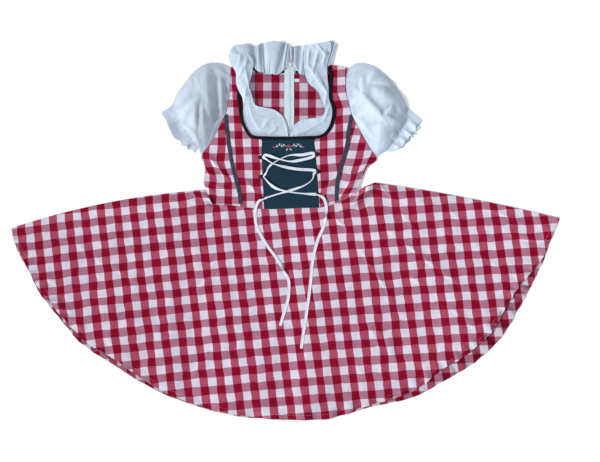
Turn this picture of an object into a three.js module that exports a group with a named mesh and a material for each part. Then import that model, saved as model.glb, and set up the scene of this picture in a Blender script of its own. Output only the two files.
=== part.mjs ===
// A dirndl dress laid flat on its back: gingham bodice and circle skirt, laced front panel,
// white puff sleeves and a gathered white neck frill. Millimetres, +Z up, the dress lies on z = 0
// with its neck towards +Y. The origin is under the middle of the laid-out dress.
import * as THREE from 'three';

// ---- driving sizes -------------------------------------------------------------------------
const CLOTH = 1.2;              // wall of every cloth panel
const TAPE = 1.0;               // wall of tapes, ribbons and the label
const SEAM = 0.3;               // gap between pieces that are sewn together
const WAIST_GAP = 1.0;          // gap along the gathered waist seam
const ARMHOLE_GAP = 1.4;        // gap between a sleeve and the armhole it is set into
const FRONT_EDGE = 1.5;         // underside of the front layer where it meets the back layer
const FRONT_CROWN = 3.0;        // how much higher the front layer lies along its middle
const BODICE_HALF = 205;        // half width of the bodice at the underarm
const ZIP_X = 11;               // centre-back line, where the zip chain runs
const ZIP_TOP = 398;
const ZIP_BOTTOM = -40;
const CHAIN_WIDTH = 2.4;
const TAPE_LEFT_WIDTH = 12.6;
const TAPE_RIGHT_WIDTH = 8;
const BINDING_WIDTH = 6;
const BINDING_HEIGHT = 3;
const BINDING_Z = 6.5;          // middle of the front neck binding
const BACK_BINDING_Z = 3.05;    // middle of the back neck binding, on the back panels
const RIBBON_WIDTH = 8;         // ribbon over each princess seam
const LACE_WIDTH = 7;
const LACE_THICK = 1.0;
const INSERT_LOW = 3.5;         // underside of the white insert inside the neckline
const INSERT_HIGH = 8.6;        // and where it is turned over the frill and the strap
const SLEEVE_EDGE = 3.2;        // height of a sleeve along its folded edges
const STEPS_PER_ROW = 2;        // stations between two rows of an outline table

// ---- tables: each row is one line across a panel, from edge a to edge b ----------------------
const table = (names, ...rows) => rows.map((row) => (
  Object.fromEntries(names.split(' ').map((name, i) => [name, row[i]]))
));

// Skirt: waist point, hem point of the back layer, and how much shorter the front layer hangs.
const SKIRT = table('ax ay bx by inset',
  [-201, 99, -670, 6, 0],
  [-187, 82, -659, -38, 0],
  [-177, 64, -626, -101, 2],
  [-155, 62, -604, -148, 5],
  [-131, 61, -550, -217, 8],
  [-104, 57, -497, -278, 12],
  [-77, 54, -423, -326, 12],
  [-50, 52, -331, -384, 8],
  [-23, 52, -221, -428, 4],
  [1, 53, -111, -455, 3],
  [26, 54, -1, -462, 2],
  [52, 55, 109, -459, 2],
  [79, 55, 206, -432, 5],
  [104, 60, 309, -409, 15],
  [126, 67, 393, -364, 26],
  [143, 76, 465, -320, 27],
  [155, 82, 521, -267, 28],
  [165, 87, 572, -187, 30],
  [174, 94, 601, -131, 20],
  [189, 105, 628, -79, 8],
  [204, 112, 648, -23, 2],
  [216, 117, 670, 30, 0]);
const SKIRT_BOW_LEFT = -15;     // the top edges of the fan curve upwards
const SKIRT_BOW_RIGHT = 6;
const SKIRT_BOW_FADE = 6;

// Largest folds of the skirt front: place across the fan, reach from waist to hem, size in mm.
const SKIRT_FOLDS = table('at from to width height',
  [0.06, -0.1, 0.5, 0.035, 4],
  [0.22, 0.3, 1.2, 0.05, 3],
  [0.41, 0.6, 1.3, 0.04, 4],
  [0.49, 0.68, 1.5, 0.035, 6],
  [0.76, 0.4, 1.2, 0.05, 4],
  [0.93, -0.2, 0.55, 0.04, 7]);

// Body outline, left: armhole from the shoulder to the underarm, then the side to the waist.
const OUTLINE_LEFT = table('x y',
  [-133, 399], [-134, 377], [-135, 353], [-137, 328], [-141, 306], [-145, 285], [-155, 265],
  [-172, 231], [-189, 204], [-205, 182], [-196, 152], [-199, 122], [-196, 104], [-188, 85]);
const OUTLINE_RIGHT = table('x y',
  [150, 396], [147, 375], [146, 353], [148, 331], [153, 311], [161, 280], [174, 255],
  [189, 228], [206, 199], [222, 174], [200, 155], [190, 136], [185, 123], [166, 89]);
const ARMHOLE_SHARE = 9 / 13;   // the armhole takes the first nine of the thirteen spans

// Front panels: a is the armhole and princess seam, b the neckline and the plastron seam.
const FRONT_LEFT = table('ax ay bx by',
  [-133, 399, -92, 404],
  [-134, 377, -102, 377],
  [-135, 353, -111, 353],
  [-137, 328, -116, 328],
  [-141, 306, -113, 306],
  [-145, 285, -111, 287],
  [-144, 267, -107, 267],
  [-142, 245, -98, 246],
  [-140, 231, -84, 227],
  [-139, 218, -60, 222],
  [-135, 192, -59, 192],
  [-129, 157, -57, 157],
  [-120, 123, -56, 123],
  [-112, 89, -54, 89],
  [-109, 59, -53, 54]);
const FRONT_RIGHT = table('ax ay bx by',
  [150, 396, 108, 404],
  [147, 375, 113, 382],
  [146, 353, 112, 357],
  [148, 331, 111, 333],
  [153, 311, 113, 314],
  [157, 295, 121, 295],
  [160, 279, 119, 274],
  [155, 253, 110, 248],
  [152, 233, 94, 231],
  [151, 218, 72, 222],
  [146, 192, 73, 192],
  [135, 157, 76, 157],
  [128, 123, 78, 123],
  [124, 89, 81, 87],
  [126, 68, 82, 57]);
const NECK_SHARE = 9 / 14;      // the neckline takes the first nine of the fourteen spans
const SIDE_LEFT = table('x y',
  [-149, 277], [-155, 265], [-172, 231], [-189, 204], [-205, 182], [-196, 152], [-199, 122],
  [-196, 104], [-188, 85]);
const SIDE_LEFT_FROM = 11 / 28; // where the princess seam leaves the armhole
const SIDE_RIGHT = table('x y',
  [164, 275], [174, 255], [189, 228], [206, 199], [222, 174], [200, 155], [190, 136],
  [185, 123], [166, 89]);
const SIDE_RIGHT_FROM = 12 / 28;

// Back panels: a is the body outline, b the back neckline and the centre-back edge.
const BACK_LEFT = table('x y',
  [-92, 404], [-60, 391], [-8, 388], [9, 380], [9, 350], [9, 310], [9, 270], [9, 230], [9, 200],
  [9, 170], [9, 140], [9, 110], [9, 82], [9, 54]);
const BACK_RIGHT = table('x y',
  [107, 402], [75, 387], [35, 384], [13, 380], [13, 350], [13, 310], [13, 270], [13, 230],
  [13, 200], [13, 170], [13, 140], [13, 110], [13, 82], [13, 54]);
const BACK_NECK_LEFT = table('x y', [-84, 398], [-60, 389], [-34, 386], [-4, 387]);
const BACK_NECK_RIGHT = table('x y', [24, 387], [46, 382], [76, 386], [98, 396]);

// Sleeves: rings from the armhole to the ruffle edge, each from the cap fold a to the underarm b.
const SLEEVE_LEFT = table('ax ay bx by bow height',
  [-134, 399, -206, 184, 23, 8],
  [-155, 410, -208, 187, 19, 17],
  [-189, 411, -209, 190, 12, 27],
  [-220, 394, -210, 193, 6, 33],
  [-245, 364, -211, 196, 2, 32],
  [-265, 336, -211, 199, -2, 24],
  [-281, 305, -211, 203, -7, 11],
  [-301, 292, -219, 190, -16, 15]);
const SLEEVE_RIGHT = table('ax ay bx by bow height',
  [151, 396, 224, 175, -24, 8],
  [172, 411, 227, 178, -20, 17],
  [211, 406, 230, 181, -12, 27],
  [245, 382, 232, 184, -6, 33],
  [270, 353, 235, 187, 0, 32],
  [287, 326, 239, 189, 5, 24],
  [299, 301, 244, 192, 10, 11],
  [331, 272, 259, 189, 12, 15]);

// White neck frill, from its gathered edge a to its free edge b, with the height of its pleats.
const FRILL_LEFT = table('ax ay bx by pleat',
  [-108, 410, -140, 426, 1],
  [-98, 410, -128, 449, 1],
  [-83, 408, -94, 454, 1],
  [-69, 397, -72, 450, 2],
  [-52, 391, -57, 457, 5],
  [-38, 388, -33, 458, 6],
  [-21, 388, -6, 458, 7],
  [-6, 394, 4, 454, 7],
  [6, 411, 8.5, 448, 5]);
const FRILL_RIGHT = table('ax ay bx by pleat',
  [13, 413, 10.5, 447, 5],
  [20, 401, 23, 449, 4],
  [30, 391, 35, 450, 3],
  [43, 387, 50, 450, 2],
  [62, 387, 67, 449, 2],
  [82, 392, 84, 449, 2],
  [97, 406, 107, 463, 2],
  [106, 410, 126, 453, 2]);
const PLEATS_LEFT = 6;
const PLEATS_RIGHT = 5;

// White front insert, from the strap and binding side a to its inner edge b.
const INSERT_LEFT = table('ax ay bx by',
  [-139, 425, -92, 432],
  [-133, 406, -81, 416],
  [-121, 382, -79, 399],
  [-120, 357, -84, 372],
  [-113, 338, -89, 350],
  [-105, 322, -83, 333],
  [-103, 306, -74, 306],
  [-104, 284, -50, 299],
  [-100, 262, -28, 294],
  [-91, 240, -11, 282],
  [-77, 228, -1, 265],
  [-55, 226, 4, 246],
  [-28, 226, 5, 235],
  [-4, 226, 6, 229]);
const INSERT_RIGHT = table('ax ay bx by',
  [107, 460, 45, 449],
  [111, 445, 45, 436],
  [106, 423, 44, 416],
  [101, 403, 45, 394],
  [101, 387, 48, 377],
  [102, 367, 57, 357],
  [105, 343, 74, 343],
  [105, 323, 82, 331],
  [112, 301, 87, 314],
  [113, 287, 95, 292],
  [110, 267, 87, 278],
  [102, 248, 55, 272],
  [88, 234, 35, 267],
  [70, 227, 21, 257],
  [43, 227, 12, 246],
  [16, 227, 9, 229]);

// Lacing: one ribbon through six loops, in five stretches, and its two free tails.
const LOOPS = table('name x y facing',
  ['lace_loop_left_1', -59, 178, 1], ['lace_loop_left_2', -57, 131, 1],
  ['lace_loop_left_3', -55, 77, 1], ['lace_loop_right_1', 74, 186, -1],
  ['lace_loop_right_2', 77, 143, -1], ['lace_loop_right_3', 80, 87, -1]);
const LOOP_LEG = 6;
const LOOP_RADIUS = 4.5;
const LOOP_HOLE = 2.6;
const LOOP_THICK = 1.2;
const STRETCHES = table('name level points',
  ['lace_stretch_1', 0, [[67, 188], [40, 184], [10, 183], [-20, 170], [-40, 155], [-48, 139]]],
  ['lace_stretch_2', 1, [[67, 180], [40, 172], [12, 168], [-20, 175], [-49, 183]]],
  ['lace_stretch_3', 2, [[-50, 175], [-31, 163], [0, 154], [30, 149], [69, 146]]],
  ['lace_stretch_4', 0, [[69, 138], [66, 126], [50, 112], [20, 100], [-11, 91], [-46, 80]]],
  ['lace_stretch_5', 1, [[-48, 124], [-40, 115], [-24, 103], [4, 95], [40, 90], [71, 88]]]);
const LACE_LEVEL = 1.6;         // one lace lies this much higher than the one it crosses
const TAIL_LEFT = [[-66, 70], [-73, 52], [-74, 36], [-72, 16], [-65, -2], [-54, -22], [-41, -42],
  [-26, -62], [-12, -84], [0, -106], [7, -122], [8, -142], [6, -166], [0, -188], [-7, -210],
  [-13, -231]];
const TAIL_RIGHT = [[91, 80], [98, 64], [99, 46], [96, 24], [89, 2], [80, -18], [72, -44],
  [66, -72], [63, -98], [61, -122], [58, -146], [55, -170], [51, -198], [47, -226], [42, -256],
  [38, -287]];

// ---- curves and heights ----------------------------------------------------------------------
const lerp = THREE.MathUtils.lerp;
const ease = (value, low, high) => THREE.MathUtils.smoothstep(value, low, high);

// A smooth edge through a table's points; t runs from 0 to 1 with equal steps between rows.
function edge(rows, x = 'x', y = 'y') {
  const curve = new THREE.CatmullRomCurve3(rows.map((row) => new THREE.Vector3(row[x], row[y], 0)));
  return (t) => {
    const point = curve.getPoint(t);
    return new THREE.Vector2(point.x, point.y);
  };
}

// One column of a table as a smooth function of t.
function column(rows, name) {
  const curve = new THREE.SplineCurve(rows.map((row, i) => new THREE.Vector2(i, row[name])));
  return (t) => curve.getPoint(t).y;
}

const stretchOf = (curve, from, to, shift = 0) => (t) => {
  const point = curve(lerp(from, to, t));
  point.x += shift;
  return point;
};

// A point on the line from a to b, bowed sideways by a distance at its middle.
function across(a, b, s, bow = 0) {
  const side = new THREE.Vector2(a.y - b.y, b.x - a.x).normalize();
  return a.clone().lerp(b, s).addScaledVector(side, 4 * bow * s * (1 - s));
}

const frontUnderside = (x) => (
  FRONT_EDGE + FRONT_CROWN * Math.max(0, 1 - (x / BODICE_HALF) ** 4)
);

const skirtWaist = edge(SKIRT, 'ax', 'ay');
const skirtHem = edge(SKIRT, 'bx', 'by');
const skirtInset = column(SKIRT, 'inset');

function skirtPoint(t, s, inset) {
  const waist = skirtWaist(t);
  const hem = skirtHem(t);
  hem.addScaledVector(hem.clone().sub(waist).normalize(), -inset);
  const bow = SKIRT_BOW_LEFT * (1 - t) ** SKIRT_BOW_FADE + SKIRT_BOW_RIGHT * t ** SKIRT_BOW_FADE;
  return across(waist, hem, s, bow);
}

function skirtFolds(t, s) {
  let rise = 0;
  for (const fold of SKIRT_FOLDS) {
    const reach = (s - fold.from) / (fold.to - fold.from);
    const along = Math.sin(Math.PI * THREE.MathUtils.clamp(reach, 0, 1));
    rise += fold.height * along * Math.exp(-(((t - fold.at) / fold.width) ** 2));
  }
  return rise;
}

// Height of the waist seam line at x, from the skirt's waist edge.
const waistStations = Array.from({ length: 170 }, (_, i) => skirtWaist(i / 169));
function waistY(x) {
  const after = waistStations.findIndex((point) => point.x >= x);
  const i = THREE.MathUtils.clamp(after, 1, waistStations.length - 1);
  const [p, q] = [waistStations[i - 1], waistStations[i]];
  return lerp(p.y, q.y, THREE.MathUtils.clamp((x - p.x) / (q.x - p.x), 0, 1));
}

// ---- solids ------------------------------------------------------------------------------------
function closedMesh(name, positions, faces, material) {
  const geometry = new THREE.BufferGeometry();
  geometry.setAttribute('position', new THREE.Float32BufferAttribute(positions.flat(), 3));
  let volume = 0;
  const corner = (i) => new THREE.Vector3(...positions[i]);
  for (const [a, b, c] of faces) volume += corner(a).dot(corner(b).cross(corner(c)));
  const outward = volume < 0 ? faces.map(([a, b, c]) => [a, c, b]) : faces;
  geometry.setIndex(outward.flat());
  geometry.computeVertexNormals();
  const mesh = new THREE.Mesh(geometry, material);
  mesh.name = name;
  return mesh;
}

// A closed wall over a grid: under(t, s) is a point of its underside, thick its height.
function wall(name, material, along, wide, under, thick = CLOTH) {
  const positions = [];
  const faces = [];
  const quad = (a, b, c, d) => faces.push([a, b, c], [a, c, d]);
  for (const lift of [0, thick]) {
    for (let i = 0; i <= along; i++) {
      for (let j = 0; j <= wide; j++) {
        const p = under(i / along, j / wide);
        positions.push([p.x, p.y, p.z + lift]);
      }
    }
  }
  const row = wide + 1;
  const layer = (along + 1) * row;
  for (let i = 0; i < along; i++) {
    for (let j = 0; j < wide; j++) {
      const a = i * row + j;
      quad(a, a + row, a + row + 1, a + 1);
      quad(a + layer, a + layer + 1, a + layer + row + 1, a + layer + row);
    }
    for (const j of [0, wide]) {
      const a = i * row + j;
      if (j === 0) quad(a, a + layer, a + layer + row, a + row);
      else quad(a, a + row, a + layer + row, a + layer);
    }
  }
  for (let j = 0; j < wide; j++) {
    const b = along * row + j;
    quad(j, j + 1, j + 1 + layer, j + layer);
    quad(b, b + layer, b + layer + 1, b + 1);
  }
  return closedMesh(name, positions, faces, material);
}

// A flat strip swept along points, with chamfered edges; each point is [x, y, z].
function strip(name, material, points, width, height) {
  const chamfer = height / 3;
  const w = width / 2;
  const h = height / 2;
  const section = [[-w, -h + chamfer], [-w + chamfer, -h], [w - chamfer, -h], [w, -h + chamfer],
    [w, h - chamfer], [w - chamfer, h], [-w + chamfer, h], [-w, h - chamfer]];
  const sides = section.length;
  const positions = [];
  const faces = [];
  points.forEach((point, i) => {
    const before = points[Math.max(i - 1, 0)];
    const after = points[Math.min(i + 1, points.length - 1)];
    const side = new THREE.Vector2(before[1] - after[1], after[0] - before[0]).normalize();
    for (const [u, v] of section) {
      positions.push([point[0] + side.x * u, point[1] + side.y * u, point[2] + v]);
    }
    if (i === 0) return;
    for (let k = 0; k < sides; k++) {
      const a = (i - 1) * sides + k;
      const b = (i - 1) * sides + (k + 1) % sides;
      faces.push([a, b, b + sides], [a, b + sides, a + sides]);
    }
  });
  const last = (points.length - 1) * sides;
  for (let k = 1; k < sides - 1; k++) {
    faces.push([0, k + 1, k], [last, last + k, last + k + 1]);
  }
  return closedMesh(name, positions, faces, material);
}

// A hollow tube, open at both ends: ring(t, k, inner) is the k-th corner of the outer or inner skin.
function openTube(name, material, along, around, ring) {
  const positions = [];
  const faces = [];
  const quad = (a, b, c, d) => faces.push([a, b, c], [a, c, d]);
  for (const inner of [false, true]) {
    for (let i = 0; i <= along; i++) {
      for (let k = 0; k < around; k++) positions.push(ring(i / along, k, inner));
    }
  }
  const layer = (along + 1) * around;
  for (let k = 0; k < around; k++) {
    const next = (k + 1) % around;
    for (let i = 0; i < along; i++) {
      const a = i * around;
      const b = a + around;
      quad(a + k, a + next, b + next, b + k);
      quad(layer + a + k, layer + b + k, layer + b + next, layer + a + next);
    }
    const end = along * around;
    quad(k, layer + k, layer + next, next);
    quad(end + k, end + next, layer + end + next, layer + end + k);
  }
  return closedMesh(name, positions, faces, material);
}

// ---- materials ---------------------------------------------------------------------------------
const cloth = (color, roughness = 0.85) => (
  new THREE.MeshStandardMaterial({ color, roughness, metalness: 0, side: THREE.DoubleSide })
);
const gingham = cloth(0xb5526e);
const cotton = cloth(0xdfe6ee);
const teal = cloth(0x263c4e);
const piping = cloth(0x11131c, 0.7);
const slate = cloth(0x43505e);
const satin = cloth(0xe6eaf2, 0.5);
const enamel = new THREE.MeshStandardMaterial({ color: 0xe9ecf2, roughness: 0.35, metalness: 0.2 });

// ---- skirt -------------------------------------------------------------------------------------
function skirt() {
  const along = (SKIRT.length - 1) * STEPS_PER_ROW;
  const back = wall('skirt_back', gingham, along, 3, (t, s) => {
    const p = skirtPoint(t, s, 0);
    return { x: p.x, y: p.y, z: 0 };
  });
  const front = wall('skirt_front', gingham, along, 7, (t, s) => {
    const p = skirtPoint(t, s, skirtInset(t));
    const crown = 1 - Math.abs(2 * t - 1) ** 4;
    return { x: p.x, y: p.y, z: FRONT_EDGE + FRONT_CROWN * crown + skirtFolds(t, s) };
  });
  return [back, front];
}

// ---- bodice ------------------------------------------------------------------------------------
const FRONT_STATIONS = (FRONT_LEFT.length - 1) * STEPS_PER_ROW;
const FOOT_TOP = 120;           // below this height a panel's foot is eased onto the waist seam
const armLeft = edge(OUTLINE_LEFT);
const armRight = edge(OUTLINE_RIGHT);
const frontLeftOuter = edge(FRONT_LEFT, 'ax', 'ay');
const frontLeftInner = edge(FRONT_LEFT, 'bx', 'by');
const frontRightOuter = edge(FRONT_RIGHT, 'ax', 'ay');
const frontRightInner = edge(FRONT_RIGHT, 'bx', 'by');

// A bodice panel between edges a and b, whose foot follows the waist seam.
function panel(name, material, along, wide, a, b, underside) {
  return wall(name, material, along, wide, (t, s) => {
    const p = across(a(t), b(t), s);
    const foot = across(a(1), b(1), s);
    const share = THREE.MathUtils.clamp((FOOT_TOP - p.y) / (FOOT_TOP - foot.y), 0, 1);
    p.y += (waistY(foot.x) + WAIST_GAP - foot.y) * share ** 2;
    return { x: p.x, y: p.y, z: underside(p.x, p.y) };
  });
}

function bodice() {
  const sideLeft = stretchOf(frontLeftOuter, SIDE_LEFT_FROM, 1, -SEAM);
  const sideRight = stretchOf(frontRightOuter, SIDE_RIGHT_FROM, 1, SEAM);
  const plastronLeft = stretchOf(frontLeftInner, NECK_SHARE, 1, SEAM);
  const plastronRight = stretchOf(frontRightInner, NECK_SHARE, 1, -SEAM);
  const spans = (from) => Math.round(FRONT_STATIONS * (1 - from));
  const flat = () => 0;
  return [
    panel('front_left', gingham, FRONT_STATIONS, 3, frontLeftOuter, frontLeftInner,
      frontUnderside),
    panel('front_right', gingham, FRONT_STATIONS, 3, frontRightOuter, frontRightInner,
      frontUnderside),
    panel('side_front_left', gingham, spans(SIDE_LEFT_FROM), 4, edge(SIDE_LEFT), sideLeft,
      frontUnderside),
    panel('side_front_right', gingham, spans(SIDE_RIGHT_FROM), 4, edge(SIDE_RIGHT), sideRight,
      frontUnderside),
    panel('plastron', teal, spans(NECK_SHARE), 4, plastronLeft, plastronRight, frontUnderside),
    panel('back_left', gingham, BACK_LEFT.length - 1, 4, armLeft, edge(BACK_LEFT), flat),
    panel('back_right', gingham, BACK_RIGHT.length - 1, 4, armRight, edge(BACK_RIGHT), flat),
  ];
}

// Ribbons over the princess seams, on the points of the front panels' outer edges.
function princessRibbons() {
  const ribbon = (name, curve, from, to) => wall(name, slate, 14, 1, (t, s) => {
    const u = lerp(from, to, t);
    const here = curve(u);
    const way = curve(Math.min(u + 0.01, 1)).sub(curve(Math.min(u + 0.01, 1) - 0.02));
    const side = new THREE.Vector2(-way.y, way.x).normalize();
    const p = here.addScaledVector(side, (s - 0.5) * RIBBON_WIDTH);
    return { x: p.x, y: p.y, z: frontUnderside(here.x) + CLOTH + 2 * SEAM };
  }, TAPE);
  return [
    ribbon('ribbon_left', frontLeftOuter, 0.42, 0.985),
    ribbon('ribbon_right', frontRightOuter, 0.44, 0.985),
  ];
}

// ---- neckline ----------------------------------------------------------------------------------
// Points moved sideways by a distance, keeping each span parallel to the original.
function offset(points, distance) {
  return points.map((p, i) => {
    const before = points[Math.max(i - 1, 0)];
    const after = points[Math.min(i + 1, points.length - 1)];
    const way = after.clone().sub(before).normalize();
    const span = p.clone().sub(before).normalize();
    const turn = i > 0 && i < points.length - 1 ? Math.abs(span.cross(way)) : 0;
    const reach = distance / Math.sqrt(1 - turn * turn);
    return new THREE.Vector2(p.x - way.y * reach, p.y + way.x * reach);
  });
}

function necklines() {
  const stations = Math.round(FRONT_STATIONS * NECK_SHARE);
  const left = Array.from({ length: stations + 1 }, (_, i) => (
    frontLeftInner((NECK_SHARE * i) / stations)));
  const right = Array.from({ length: stations + 1 }, (_, i) => (
    frontRightInner((NECK_SHARE * (stations - i)) / stations)));
  const centre = offset([...left, ...right], BINDING_WIDTH / 2 + 2 * SEAM);
  const raised = (points, z) => points.map((p) => [p.x, p.y, z]);
  const smooth = (rows) => Array.from({ length: 9 }, (_, i) => edge(rows)(i / 8));
  return [
    strip('neck_binding_front', piping, raised(centre, BINDING_Z), BINDING_WIDTH,
      BINDING_HEIGHT),
    strip('neck_binding_back_left', piping, raised(smooth(BACK_NECK_LEFT), BACK_BINDING_Z),
      BINDING_WIDTH, BINDING_HEIGHT),
    strip('neck_binding_back_right', piping, raised(smooth(BACK_NECK_RIGHT), BACK_BINDING_Z),
      BINDING_WIDTH, BINDING_HEIGHT),
  ];
}

// The frill stands on the back neckline and falls outwards past it in pleats.
function frill(name, rows, pleats) {
  const a = edge(rows, 'ax', 'ay');
  const b = edge(rows, 'bx', 'by');
  const pleat = column(rows, 'pleat');
  const gatheredEdge = 5;
  const freeEdge = 1;
  return wall(name, cotton, 30, 3, (t, s) => {
    const p = across(a(t), b(t), s);
    const wave = 0.5 - 0.5 * Math.cos(2 * Math.PI * pleats * t);
    return { x: p.x, y: p.y, z: lerp(gatheredEdge, freeEdge, s * s) + pleat(t) * wave * s };
  });
}

// The insert lies inside the neckline and rises over the strap and frill above the ramp.
function insert(name, rows, rampLow, rampHigh) {
  const a = edge(rows, 'ax', 'ay');
  const b = edge(rows, 'bx', 'by');
  const puff = 4;
  return wall(name, cotton, (rows.length - 1) * STEPS_PER_ROW, 4, (t, s) => {
    const p = across(a(t), b(t), s);
    const turned = ease(lerp(a(t).y, b(t).y, 0.3), rampLow, rampHigh);
    const z = lerp(INSERT_LOW, INSERT_HIGH + puff * Math.sin(Math.PI * s), turned);
    return { x: p.x, y: p.y, z };
  });
}

// ---- sleeves -----------------------------------------------------------------------------------
// Each ring is flat along its lower half, on the surface, and domed along its upper half.
function sleeve(name, rows, armhole, outward) {
  const a = edge(rows, 'ax', 'ay');
  const b = edge(rows, 'bx', 'by');
  const bow = column(rows, 'bow');
  const height = column(rows, 'height');
  const dome = 0.8;
  const armholeFade = 3;
  const plan = (t, s) => {
    const p = across(a(t), b(t), s, bow(t));
    const start = across(a(0), b(0), s, bow(0));
    const seam = armhole(s * ARMHOLE_SHARE);
    seam.x += outward * ARMHOLE_GAP;
    seam.y += ARMHOLE_GAP * s ** 4;
    return p.addScaledVector(seam.sub(start), (1 - t) ** armholeFade);
  };
  const half = 10;
  return openTube(name, cotton, 10, 2 * half, (t, k, inner) => {
    const lower = k < half;
    const s = (lower ? k : 2 * half - 1 - k) / (half - 1);
    const skin = inner ? CLOTH : 0;
    const margin = skin / a(t).distanceTo(b(t));
    const p = plan(t, lerp(margin, 1 - margin, s));
    const top = SLEEVE_EDGE + (height(t) - SLEEVE_EDGE) * Math.sin(Math.PI * s) ** dome;
    return [p.x, p.y, lower ? skin : top - skin];
  });
}

// ---- zip and label -----------------------------------------------------------------------------
function box(name, material, low, high) {
  const size = high.map((value, i) => value - low[i]);
  const mesh = new THREE.Mesh(new THREE.BoxGeometry(...size), material);
  mesh.position.set(...low.map((value, i) => value + size[i] / 2));
  mesh.name = name;
  return mesh;
}

function zip() {
  const low = CLOTH + SEAM;
  const left = ZIP_X - CHAIN_WIDTH / 2 - SEAM;
  const right = ZIP_X + CHAIN_WIDTH / 2 + SEAM;
  const chainHeight = 1.6;
  const slider = { half: 3.5, length: 10, low: 1.1, high: 4.2 };
  const pull = { half: 1.7, length: 24, thick: 0.8 };
  const label = { x: 21.5, y: 362, width: 12, height: 8 };
  return [
    box('zip_tape_left', cotton, [left - TAPE_LEFT_WIDTH, ZIP_BOTTOM, low],
      [left, ZIP_TOP, low + TAPE]),
    box('zip_tape_right', cotton, [right, ZIP_BOTTOM, low],
      [right + TAPE_RIGHT_WIDTH, ZIP_TOP, low + TAPE]),
    box('zip_chain', cotton, [ZIP_X - CHAIN_WIDTH / 2, ZIP_BOTTOM, low],
      [ZIP_X + CHAIN_WIDTH / 2, ZIP_TOP, low + chainHeight]),
    box('zip_slider', enamel, [ZIP_X - slider.half, ZIP_TOP + SEAM, slider.low],
      [ZIP_X + slider.half, ZIP_TOP + SEAM + slider.length, slider.high]),
    box('zip_pull', enamel, [ZIP_X - pull.half, ZIP_TOP + SEAM + slider.length - pull.length, 0],
      [ZIP_X + pull.half, ZIP_TOP + SEAM + slider.length, pull.thick]),
    box('size_label', cotton, [label.x, label.y, low],
      [label.x + label.width, label.y + label.height, low + TAPE]),
  ];
}

// ---- lacing ------------------------------------------------------------------------------------
const laceBase = frontUnderside(0) + CLOTH + SEAM;

function lacing() {
  const pieces = LOOPS.map((loop) => {
    const shape = new THREE.Shape();
    shape.moveTo(-LOOP_LEG, -LOOP_RADIUS);
    shape.lineTo(0, -LOOP_RADIUS);
    shape.absarc(0, 0, LOOP_RADIUS, -Math.PI / 2, Math.PI / 2, false);
    shape.lineTo(-LOOP_LEG, LOOP_RADIUS);
    shape.closePath();
    const hole = new THREE.Path();
    hole.absarc(0, 0, LOOP_HOLE, 0, 2 * Math.PI, true);
    shape.holes.push(hole);
    const geometry = new THREE.ExtrudeGeometry(shape, {
      depth: LOOP_THICK, bevelEnabled: false, curveSegments: 4,
    });
    const mesh = new THREE.Mesh(geometry, piping);
    mesh.name = loop.name;
    mesh.position.set(loop.x, loop.y, laceBase);
    mesh.rotation.z = loop.facing > 0 ? 0 : Math.PI;
    return mesh;
  });
  for (const stretch of STRETCHES) {
    const rows = stretch.points.map(([x, y]) => ({ x, y }));
    const z = laceBase + LOOP_THICK + SEAM + stretch.level * LACE_LEVEL + LACE_THICK / 2;
    const points = Array.from({ length: 9 }, (_, i) => edge(rows)(i / 8));
    pieces.push(strip(stretch.name, satin, points.map((p) => [p.x, p.y, z]), LACE_WIDTH,
      LACE_THICK));
  }
  return pieces;
}

// The free tails: from the lowest loops down over the waist seam and along the skirt.
function tail(name, route) {
  const onSkirt = SEAM + LACE_THICK / 2;
  const overLoop = LOOP_THICK + 2 * SEAM;
  const points = route.map(([x, y]) => (
    new THREE.Vector3(x, y, laceBase + onSkirt + overLoop * ease(y, 40, 68))
  ));
  const section = new THREE.Shape();
  for (let k = 0; k < 8; k++) {
    const angle = ((k + 0.5) * Math.PI) / 4;
    const put = k === 0 ? 'moveTo' : 'lineTo';
    section[put]((LACE_THICK / 2) * Math.cos(angle), (LACE_WIDTH / 2) * Math.sin(angle));
  }
  section.closePath();
  const geometry = new THREE.ExtrudeGeometry(section, {
    steps: 20, extrudePath: new THREE.CatmullRomCurve3(points), bevelEnabled: false,
  });
  const mesh = new THREE.Mesh(geometry, satin);
  mesh.name = name;
  return mesh;
}

// ---- the dress ---------------------------------------------------------------------------------
const dress = new THREE.Group();
dress.add(
  ...skirt(),
  ...bodice(),
  ...princessRibbons(),
  ...necklines(),
  sleeve('sleeve_left', SLEEVE_LEFT, armLeft, -1),
  sleeve('sleeve_right', SLEEVE_RIGHT, armRight, 1),
  frill('neck_frill_left', FRILL_LEFT, PLEATS_LEFT),
  frill('neck_frill_right', FRILL_RIGHT, PLEATS_RIGHT),
  insert('insert_left', INSERT_LEFT, 300, 322),
  insert('insert_right', INSERT_RIGHT, 345, 385),
  ...zip(),
  ...lacing(),
  tail('lace_tail_left', TAIL_LEFT),
  tail('lace_tail_right', TAIL_RIGHT),
);

export default dress;
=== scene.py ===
"""Looks of a dirndl dress laid flat on its back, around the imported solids.

Lengths are millimetres in the dress's own frame until a mesh is made: +Y from hem to neck, +Z up.
The outlines repeat the ones that the solids are made from; creases, gathers, weave, stitches,
embroidery and finishes are added here.
"""
import math

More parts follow.
